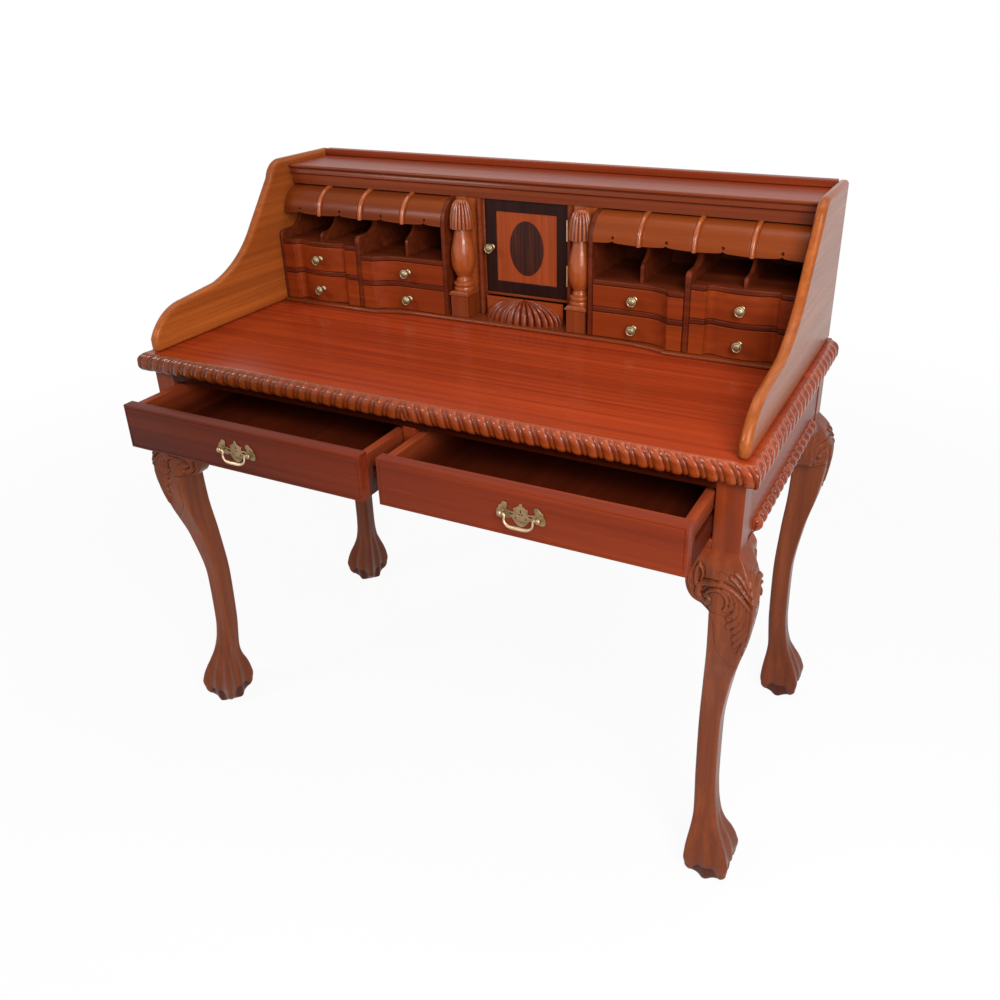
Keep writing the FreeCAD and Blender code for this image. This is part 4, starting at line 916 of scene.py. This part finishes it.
def valance_solids():
    """The quarter-round valances and their ribs: a rolled board with pierced dots and a scalloped edge.

    The radius dips beside a rib and is cut in at a dot, and the lower edge rises between two ribs to a
    small point under each dot.
    """
    sizes = settings().valance
    start, stop = high("tall_partitions")[0] + 0.3 * MM, high("valances")[0]
    radius, thick, spacing, hole_depth = 47 * MM, 8 * MM, 96 * MM, 5 * MM
    axis = high("valances")[1], FRIEZE_BOTTOM - 0.3 * MM - radius - sizes.rib / 2
    ribs, dots = ((start + stop) / 2 + spacing * np.array(steps)
                  for steps in ((-1, 0, 1), (-1.5, -0.5, 0.5, 1.5)))
    across = [np.linspace(start, stop, 120)]
    across += [rib + np.linspace(-1.15, 1.15, 27) * sizes.rib for rib in ribs]
    across += [dot + np.linspace(-1, 1, 23) * 6 * MM for dot in dots]
    across = np.unique(np.round(np.clip(np.concatenate(across), start, stop), 5))
    to_rib, to_dot = (np.abs(across[:, None] - places).min(axis=1) for places in (ribs, dots))
    rib_rise = -0.8 * MM * np.exp(-((to_rib - sizes.rib) / (0.9 * MM)) ** 2)
    wave = sizes.scallop * (0.55 * (1 - to_dot / (spacing / 2)) ** 2 + 0.7 * np.exp(-to_dot / (2.2 * MM)))
    quarter = math.pi / 2
    turn = np.concatenate([np.linspace(0, 0.55, 26), np.linspace(0.6, quarter, 22)])
    base = wave[:, None] / radius
    angle = base + (quarter - base) * turn / quarter
    hole = np.hypot(to_dot[:, None], radius * np.sin(angle) - 9.5 * MM)
    pierced = 1 - smoothly(hole, 1.8 * MM, 2.9 * MM)
    outer = radius + rib_rise[:, None] * smoothly(turn, -0.01, 0.03) - hole_depth * pierced
    outline = np.concatenate([arc_points(*axis, outer, angle),
                              arc_points(*axis, radius - thick, angle[:, ::-8])], axis=1)
    rings = points_at(across[:, None], outline[..., 0], outline[..., 1])
    # Painted shade inside the pierced dots.
    hollow = np.pad(pierced, ((0, 0), (0, outline.shape[1] - len(turn))))
    bend = np.linspace(-0.02, quarter - 0.02, 40)[:, None]
    around = np.linspace(0, 2 * math.pi, 21)[:-1]
    bead = arc_points(*axis, radius + 0.94 * sizes.rib * np.cos(around), bend)
    beads = [loft(points_at(rib + sizes.rib * np.sin(around), bead[..., 0], bead[..., 1])) for rib in ribs]
    return with_mirror([loft(rings, hollow)]), with_mirror(beads)


def shell_solids():
    """The shell: half of a flattened dome whose lobes run down from its crown, on a flat board.

    The radius is that of an ellipsoid, less a groove between lobes that fades towards the crown.
    """
    sizes = settings().shell
    first, last = low("shell_carving"), high("shell_carving")
    wall = last[1] - 2.9 * MM
    turn = np.linspace(0, math.pi, sizes.lobes * 14 + 1)
    rise = np.linspace(0, math.pi / 2, 26)[:, None]
    groove = sizes.depth * (1 - np.abs(np.sin(turn * sizes.lobes)) ** 0.6) * np.cos(rise) ** 0.25
    plan = np.cos(rise) ** 0.82 * (1 - groove)
    up = (last[2] - first[2]) * np.sin(rise) * (1 - 0.4 * groove)
    rings = points_at(last[0] * plan * np.cos(turn), wall - (wall - first[1]) * plan * np.sin(turn),
                      first[2] + up)
    ground = board((-last[0], last[1] - 3.0 * MM, first[2]), (last[0], last[1], last[2]))
    # Painted shade in the grooves; the added 0.36 darkens the whole shell evenly.
    return [loft(rings, np.clip(groove / sizes.depth * 1.1 + 0.36, 0, 1)), ground]


def column_profile(tall):
    """Half outline of a column from its foot, as (radius, height) with the vase, rings and bell cap."""
    rings = ((0, 0), (19.6, 0), (20, 1.5), (20, 5), (19.4, 6.5), (17, 7.2), (17.4, 9), (19.4, 10.6),
             (20, 12.8), (19.4, 15), (17, 16.4), (14.6, 17.2), (14.8, 19.5), (14.2, 22), (12.8, 23.4),
             (12.4, 26))
    vase_at = (26, 31, 40, 52, 63, 75, 88, 100, 110, 116)
    vase = (13.4, 15.6, 20.0, 22.5, 23.0, 22.2, 19.6, 16.6, 14.6, 13.8)
    height = np.linspace(vase_at[0], vase_at[-1], 40)[1:]
    bell_foot = 116.5
    line = np.concatenate([rings, points_at(flowing(vase_at, vase, height), height),
                           [(20.4, bell_foot - 1.0), (22.4, bell_foot - 0.6)]]) * MM
    turn = np.linspace(0, math.pi / 2, 26)
    dome = points_at(22.8 * MM * np.cos(turn) ** 0.7 + 0.2 * MM,
                     bell_foot * MM + (tall - bell_foot * MM) * np.sin(turn))
    return np.concatenate([line, dome])


def document_slide():
    """A document slide: block, moulded cap, turned column with a fluted bell, backing board and box."""
    sizes = settings().column
    first, last = low("document_slide_right"), high("document_slide_right")
    half_wide, half_deep, thick, wall = 18 * MM, 22 * MM, 8 * MM, 5 * MM
    cap_at, foot = PLINTH_TOP + 40 * MM, PLINTH_TOP + 49 * MM
    centre_x, centre_y = (first[0] + last[0]) / 2, first[1] + 2.6 * MM + half_deep
    front, back = centre_y - half_deep, centre_y + half_deep - 0.2 * MM
    behind, deep = back + thick, last[1]
    tall, bell = last[2] - foot, 115.4 * MM

    def flute(angle, far):
        """How deep the flutes are at an angle and a height: only on the bell, and fading at its crown."""
        on_bell = smoothly(far, bell, bell + MM) * (1 - smoothly(far, tall - 9 * MM, tall) ** 2)
        return sizes.flute_depth * (1 - np.abs(np.sin(angle * sizes.flutes / 2)) ** 0.8) * on_bell

    rings = []
    for grow, rise in ((0.0, 0.0), (2.6, 2.0), (2.6, 4.4), (1.2, 5.4), (1.2, 6.4), (-1.2, 9.0)):
        left, right = centre_x - half_wide - grow * MM, centre_x + half_wide + grow * MM
        y, z = front - grow * MM, cap_at + rise * MM
        rings.append([(left, y, z), (right, y, z), (right, back, z), (left, back, z)])
    inner = (first[0] + wall, last[0] - wall)
    boards = (
        ((centre_x - half_wide, front, first[2]), (centre_x + half_wide, back, cap_at)),
        ((first[0], back, first[2]), (last[0], behind, last[2])),
        ((first[0], behind, first[2]), (inner[0], deep, last[2])),
        ((inner[1], behind, first[2]), (last[0], deep, last[2])),
        ((inner[0], deep - wall, first[2]), (inner[1], deep, last[2])),
        ((inner[0], behind, first[2]), (inner[1], deep - wall, first[2] + 4 * MM)))
    column = turned_solid(column_profile(tall), (centre_x, centre_y, foot), sizes.flutes * 8, True, flute)
    return [column, loft(rings)] + [board(*corners) for corners in boards]


# ---- brass
KNOB_OUTLINE = (  # radius and distance from the drawer in millimetres
    (0, 0), (6, 0), (6.2, 0.6), (5.6, 1.6), (4, 2.6), (3.5, 4.6), (3.4, 7.5), (4.2, 9.6), (6.8, 11.2),
    (8.6, 12), (9, 13), (9, 15.6), (8.5, 17), (7.4, 17.5), (6.8, 17), (6.1, 17), (5.6, 17.7), (4, 18.5),
    (2, 18.9), (0, 19))
PLATE_OUTLINE = (  # right half, from the top finial to the bottom, as shares of half width and half height
    (0, 1), (0.06, 0.86), (0.07, 0.72), (0.14, 0.66), (0.20, 0.56), (0.28, 0.50), (0.30, 0.34), (0.26, 0.2),
    (0.34, 0.16), (0.46, 0.2), (0.56, 0.22), (0.58, 0.36), (0.53, 0.56), (0.55, 0.78), (0.64, 0.88),
    (0.74, 0.80), (0.78, 0.62), (0.88, 0.50), (0.91, 0.26), (0.98, 0.04), (1.0, -0.22), (0.96, -0.44),
    (0.86, -0.54), (0.74, -0.50), (0.66, -0.40), (0.58, -0.44), (0.51, -0.50), (0.44, -0.40), (0.36, -0.34),
    (0.30, -0.52), (0.22, -0.74), (0.12, -0.92), (0, -1))
PLATE_HOLES = (  # centre as shares, half width and half height in millimetres
    ((0.0, 0.28), 1.0, 3.0), ((-0.05, 0.02), 1.9, 0.9), ((0.05, 0.02), 1.9, 0.9), ((0.39, -0.04), 3.6, 1.5),
    ((-0.39, -0.04), 3.6, 1.5), ((0.2, -0.3), 0.8, 2.0), ((-0.2, -0.3), 0.8, 2.0), ((0.0, -0.62), 2.0, 0.8))
POST_SPAN, PIVOT, BAIL_DROP, BAIL_LEAN = 60 * MM, 7.5 * MM, 16.5 * MM, 4.0 * MM


def knob_solid(node):
    """A turned mushroom knob on its neck, where the frame's knob is."""
    rounded = curve_through(np.array(KNOB_OUTLINE[1:-1]) * MM, 44)
    profile = np.concatenate([[(0, 0)], rounded, [(0, KNOB_OUTLINE[-1][1] * MM)]])
    return turned_solid(profile, back_centre(node), 32)


def plate_mesh(node):
    """A pierced back plate cut from a flat curve with holes, given thickness and a rounded edge."""
    half_wide, _, half_high = (high(node) - low(node)) / 2
    edge = settings().brass.plate_dome
    right = np.array(PLATE_OUTLINE)
    loops = [np.concatenate([right, (right * (-1, 1))[-2:0:-1]]) * (half_wide, half_high)]
    turn = np.linspace(0, 2 * math.pi, 12, endpoint=False)
    for (across, up), wide, tall in PLATE_HOLES:
        loops.append(points_at(across * half_wide + wide * MM * np.cos(turn),
                               up * half_high + tall * MM * np.sin(turn)))
    curve = bpy.data.curves.new("plate outline", "CURVE")
    curve.dimensions = "2D"
    curve.fill_mode = "BOTH"
    curve.extrude = 0.5 * MM
    curve.bevel_depth = edge
    curve.bevel_resolution = 2
    curve.offset = -edge
    for loop in loops:
        spline = curve.splines.new("POLY")
        spline.points.add(len(loop) - 1)
        spline.points.foreach_set("co", points_at(loop[:, 0], loop[:, 1], 0.0, 1.0).ravel())
        spline.use_cyclic_u = True
    holder = bpy.data.objects.new("plate outline", curve)
    mesh = bpy.data.meshes.new_from_object(holder)
    bpy.data.objects.remove(holder)
    points = np.array([point.co for point in mesh.vertices])
    placed = points[:, [0, 2, 1]] * (1, -1, 1) + back_centre(node) - (0, MM, 0)
    return Solid(placed, [list(face.vertices) for face in mesh.polygons])


def handle_solids(word):
    """A handle's pierced plate with its two turned posts, and its bail, in two lists."""
    node = f"handle_plate_{word}"
    centre = back_centre(node)
    post = np.array([(0, 1.6), (5.4, 1.6), (5.4, 2.6), (3.6, 3.2), (3.2, 4.4), (3.6, 5.0)]) * MM
    turn = np.radians(np.linspace(-55, 90, 12))
    ball = points_at(4.8 * MM * np.cos(turn), PIVOT + 4.8 * MM * np.sin(turn))
    ball[-1, 0] = 0
    fixed = [plate_mesh(node)] + [turned_solid(np.concatenate([post, ball]), centre + (place, 0, 0), 28)
                                  for place in (-POST_SPAN / 2, POST_SPAN / 2)]
    half = high(f"bail_{word}")[0] - centre[0]
    arm = half - 7.3 * MM
    corners = ((3.6, -0.1), (0.8, -0.9), (0, -3.2), (0.2, -8), (-1.2, -11.6), (-4.6, -14.6), (-9, -16.0))
    right = curve_through([(half, 0)] + [(arm + over * MM, up * MM) for over, up in corners]
                          + [(arm * 0.3, -BAIL_DROP), (0, -BAIL_DROP)], 46)
    path = np.concatenate([right, (right * (-1, 1))[-2::-1]])
    share = np.abs(np.linspace(-1, 1, len(path)))
    radius = (1.75 + 0.75 * (1 - smoothly(share, 0.1, 0.42)))[:, None] * MM
    direction = unit(np.gradient(path, axis=0), (1, 0))
    normal = points_at(-direction[:, 1], direction[:, 0])
    angle = np.linspace(0, 2 * math.pi, 16, endpoint=False)
    flat = path[:, None] + normal[:, None] * (radius * np.cos(angle))[..., None]
    forward = radius * np.sin(angle) - flat[..., 1] * BAIL_LEAN / BAIL_DROP
    return fixed, [loft(centre + points_at(flat[..., 0], -PIVOT - forward, flat[..., 1]))]


# ---- boards with a worked front
def bordered_front(node, loops):
    """A drawer front whose face steps in through nested rectangles of (inset, depth) in millimetres."""
    first, last = low(node), high(node)
    depths = [(0.0, last[1])] + [(inset * MM, first[1] + depth * MM) for inset, depth in loops]
    return loft([[(first[0] + inset, y, first[2] + inset), (last[0] - inset, y, first[2] + inset),
                  (last[0] - inset, y, last[2] - inset), (first[0] + inset, y, last[2] - inset)]
                 for inset, y in depths])


def cornice_solids():
    """The cornice: a rounded lip over a cove and a small fillet, and the flat frieze below it."""
    first, last = low("cornice"), high("cornice")
    front, lip, deep, thick = first[1], 3.0 * MM, 8 * MM, 12 * MM
    turn = np.radians(np.linspace(90, 270, 10))
    nose = points_at(front + lip + lip * np.cos(turn), SHELF_TOP - lip + lip * np.sin(turn))
    arc = np.radians(np.linspace(100, 180, 9))
    under = SHELF_TOP - 2 * lip
    cove = points_at(front + 2.6 * MM + 3.6 * MM * np.sin(arc),
                     np.linspace(under - 1.2 * MM, CEILING + 2.4 * MM, len(arc)))
    upper = np.concatenate([[(front + deep, SHELF_TOP)], nose, [(front + 2.6 * MM, under - 0.6 * MM)], cove,
                            [(front + 5.8 * MM, CEILING), (front + deep, CEILING)]])
    lower = [(front + deep, first[2]), (front + deep, CEILING), (front + deep + thick, CEILING),
             (front + deep + thick, first[2])]
    return [loft([np.insert(outline, 0, x, axis=1) for x in (first[0], last[0])])
            for outline in (upper, lower)]


# ---- operators
class DESK_OT_finishes(bpy.types.Operator):
    """Make the wood and brass finishes"""
    bl_idname = "desk.finishes"
    bl_label = "Finishes"

    def execute(self, context):
        dress_materials()
        return {"FINISHED"}


class DESK_OT_legs(bpy.types.Operator):
    """Carve the four cabriole legs"""
    bl_idname = "desk.legs"
    bl_label = "Cabriole legs"

    def execute(self, context):
        for end_word, end in (("front", -1), ("back", 1)):
            for side_word, side in (("left", -1), ("right", 1)):
                node = f"leg_{end_word}_{side_word}"
                piece(f"carved_{node}", [leg_solid(side, end)], "desk", SLOTS[node], (node, "knee_brackets"),
                      smooth=50, merge=WELD)
        return {"FINISHED"}


class DESK_OT_gadroons(bpy.types.Operator):
    """Carve the gadrooned edges of the top and the side aprons"""
    bl_idname = "desk.gadroons"
    bl_label = "Gadrooned edges"

    def execute(self, context):
        for name, solids, node in (("carved_top_edge", top_gadroon(), "top_gadroon"),
                                   ("carved_apron_edges", apron_gadroons(), "apron_gadroons")):
            piece(name, solids, "desk", "mahogany_carved", (node,), smooth=45)
        return {"FINISHED"}


class DESK_OT_superstructure(bpy.types.Operator):
    """Make the valances, the shell, the cornice and the columns"""
    bl_idname = "desk.superstructure"
    bl_label = "Valances, shell and columns"

    def execute(self, context):
        boards, beads = valance_solids()
        piece("ribbed_valances", boards, "desk", "mahogany_light", ("valances",), smooth=50)
        piece("valance_ribs", beads, "desk", "mahogany_column", (), smooth=60)
        piece("shell_fan", shell_solids(), "desk", "mahogany_carved", ("shell_carving",), smooth=60)
        piece("moulded_cornice", cornice_solids(), "desk", "mahogany_dark", ("cornice",), smooth=30)
        slide = document_slide()
        for word, solids in (("right", slide), ("left", [solid.mirrored() for solid in slide])):
            piece(f"column_slide_{word}", solids, f"document_{word}", "mahogany_column",
                  (f"document_slide_{word}",), smooth=35)
        return {"FINISHED"}


class DESK_OT_brass(bpy.types.Operator):
    """Make the handles and the knobs"""
    bl_idname = "desk.brass"
    bl_label = "Handles and knobs"

    def execute(self, context):
        for word in ("left", "right"):
            fixed, bail = handle_solids(word)
            piece(f"pierced_plate_{word}", fixed, f"long_drawer_{word}", "brass_plate",
                  (f"handle_plate_{word}",), smooth=40, merge=WELD)
            piece(f"bail_handle_{word}", bail, f"bail_{word}", "brass_bail", (f"bail_{word}",), smooth=60)
        for node in sorted(name for name in NODES if "knob" in name):
            piece(f"turned_{node}", [knob_solid(node)], NODES[node]["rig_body"], "brass_knob", (node,),
                  smooth=50)
        return {"FINISHED"}


class DESK_OT_boards(bpy.types.Operator):
    """Give the boards and drawer fronts their worked and softened edges"""
    bl_idname = "desk.boards"
    bl_label = "Boards and drawer fronts"

    def execute(self, context):
        bead = ((0, 1.6), (0.5, 0.5), (1.8, 0), (4.2, 0), (4.7, 0.9), (5.3, 0.9), (5.8, 0.1), (7, 0))
        for word in ("left", "right"):
            node = f"long_drawer_front_{word}"
            piece(f"beaded_front_{word}", [bordered_front(node, bead)], f"long_drawer_{word}",
                  "mahogany_front", (node,), smooth=25)
        for node, width in (
                ("upper_side_left", 7), ("upper_side_right", 7), ("plinth", 2.6), ("top_shelf", 0.8),
                ("gallery_rail", 2), ("main_dividers", 2.2), ("pigeonhole_dividers", 1.4), ("bay_boards", 2),
                ("tall_partitions", 1.5), ("door_jambs", 0.8), ("door_sill", 1.2), ("door_frame", 0.7),
                ("front_rails", 0.8), ("centre_stile", 0.6), ("side_aprons", 0.5), ("back_apron", 0.8),
                ("writing_top", 0.4), ("upper_back", 0.5), ("long_drawer_box_left", 1),
                ("long_drawer_box_right", 1)):
            # The front rails take the wood with a painted shadow above the drawers.
            eased(node, width * MM, 4 if width > 3 else 2,
                  {"side_aprons": "side_apron", "front_rails": "front_rail"}.get(node))
        for node in sorted(name for name in NODES if name.startswith("drawer_") and name != "drawer_runners"):
            eased(node, 0.9 * MM, 2)
        return {"FINISHED"}


class DESK_OT_plain(bpy.types.Operator):
    """Give the frame's own nodes that stay in sight their finishes"""
    bl_idname = "desk.plain"
    bl_label = "Finishes on the frame"

    def execute(self, context):
        for node, item in NODES.items():
            item.data.materials.clear()
            item.data.materials.append(WOODS[SLOTS[node]])
        return {"FINISHED"}


class DESK_OT_stage(bpy.types.Operator):
    """Set the floor, the lights and the camera"""
    bl_idname = "desk.stage"
    bl_label = "Stage"

    def execute(self, context):
        self.floor()
        self.lights(context.scene)
        self.camera(context.scene)
        return {"FINISHED"}

    @staticmethod
    def floor():
        """A pale floor that shows white to the camera and still keeps a soft shadow."""
        mesh = bpy.data.meshes.new("floor")
        reach = 60.0
        mesh.from_pydata([(-reach, -reach, 0), (reach, -reach, 0), (reach, reach, 0), (-reach, reach, 0)], [],
                         [(0, 1, 2, 3)])
        item = bpy.data.objects.new("floor", mesh)
        bpy.context.scene.collection.objects.link(item)
        shade = Shade("pale floor")
        grain = shade.noise(shade.spot, 3.0, 2.0)
        seen = Value(shade, seen_ray(shade.tree))
        pale = shade.blend(grain, (0.5, 0.5, 0.5), (0.54, 0.54, 0.54))
        away = shade.add("ShaderNodeVectorMath", {"operation": "LENGTH"}, {0: shade.spot}, output=1)
        glow = shade.add("ShaderNodeEmission", None, {"Strength": 1.0})
        floor_colour = shade.blend(seen, pale, (0.95, 0.95, 0.95))
        mesh.materials.append(shade.coat(Base_Color=floor_colour, Roughness=0.9))
        share = seen * away.spread(1.0, 3.0, 0.93, 1.0)
        mixed_surface(shade.tree, share.socket, shade.surface.outputs[0], glow.socket, "Material Output")

    @staticmethod
    def lights(scene):
        """Four soft lamps and a pale room."""
        sizes = settings().stage
        world = bpy.data.worlds.new("room")
        scene.world = world
        world.use_nodes = True
        tree = world.node_tree
        rooms = (tree.nodes["Background"], tree.nodes.new("ShaderNodeBackground"))
        for room, strength in zip(rooms, (sizes.fill, 1.0)):
            room.inputs["Color"].default_value = (1, 1, 1, 1)
            room.inputs["Strength"].default_value = strength
        mixed_surface(tree, seen_ray(tree), rooms[0].outputs[0], rooms[1].outputs[0], "World Output")
        for name, place, level, wide, power in (
                ("key", (1.4, -1.4, 2.0), 0.75, 1.1, 1.4), ("top", (0.5, 0.4, 3.2), 0.7, 1.6, 0.9),
                ("front", (1.35, -1.7, 1.3), 0.6, 1.1, 0.55), ("glint", (-1.7, -1.9, 2.4), 0.8, 0.6, 0.85)):
            lamp = bpy.data.lights.new(name, "AREA")
            lamp.size = wide
            lamp.energy = sizes.key_power * power
            item = bpy.data.objects.new(name, lamp)
            scene.collection.objects.link(item)
            item.location = place
            aim = np.array((0.0, 0.0, level)) - place
            tilt = math.atan2(math.hypot(aim[0], aim[1]), -aim[2])
            item.rotation_euler = (tilt, 0, math.atan2(aim[1], aim[0]) - math.pi / 2)

    @staticmethod
    def camera(scene):
        """The camera, slightly above eye level at the desk's right front."""
        lens = bpy.data.cameras.new("camera")
        lens.sensor_fit = "HORIZONTAL"
        lens.sensor_width = 36
        lens.lens = settings().stage.lens
        lens.shift_x, lens.shift_y = -0.0291, -0.0252
        item = bpy.data.objects.new("camera", lens)
        scene.collection.objects.link(item)
        item.rotation_euler = [math.radians(value) for value in (62.93, 0.99, 26.372)]
        item.location = (0.7863, FACE_Y - 1.1353, 1.3437)
        scene.camera = item
        scene.view_settings.view_transform = "Standard"


class DESK_PT_sidebar(bpy.types.Panel):
    """Steps and sizes of the writing desk"""
    bl_idname = "DESK_PT_sidebar"
    bl_label = "Writing desk"
    bl_space_type = "VIEW_3D"
    bl_region_type = "UI"
    bl_category = "Writing desk"

    def draw(self, context):
        desk = context.scene.writing_desk
        for name in ("leg", "edge", "shell", "column", "valance", "brass", "wood", "stage"):
            group = getattr(desk, name)
            box = self.layout.box()
            box.label(text=name.capitalize())
            for key in group.__annotations__:
                box.prop(group, key)
        for step in STEPS:
            self.layout.operator(step.bl_idname)


STEPS = (DESK_OT_finishes, DESK_OT_plain, DESK_OT_legs, DESK_OT_gadroons, DESK_OT_superstructure,
         DESK_OT_brass, DESK_OT_boards, DESK_OT_stage)
CLASSES = (LegSizes, EdgeSizes, ShellSizes, ColumnSizes, ValanceSizes, BrassSizes, WoodColours, StageSizes,
           DeskSettings, *STEPS, DESK_PT_sidebar)


def register():
    """Adds the classes and the scene's settings."""
    for item in CLASSES:
        bpy.utils.register_class(item)
    bpy.types.Scene.writing_desk = PointerProperty(type=DeskSettings)


def unregister():
    """Takes them away again."""
    del bpy.types.Scene.writing_desk
    for item in reversed(CLASSES):
        bpy.utils.unregister_class(item)


def main():
    """Registers the add-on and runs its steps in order."""
    register()
    for step in STEPS:
        group, name = step.bl_idname.split(".")
        getattr(getattr(bpy.ops, group), name)()


if __name__ == "__main__":
    main()
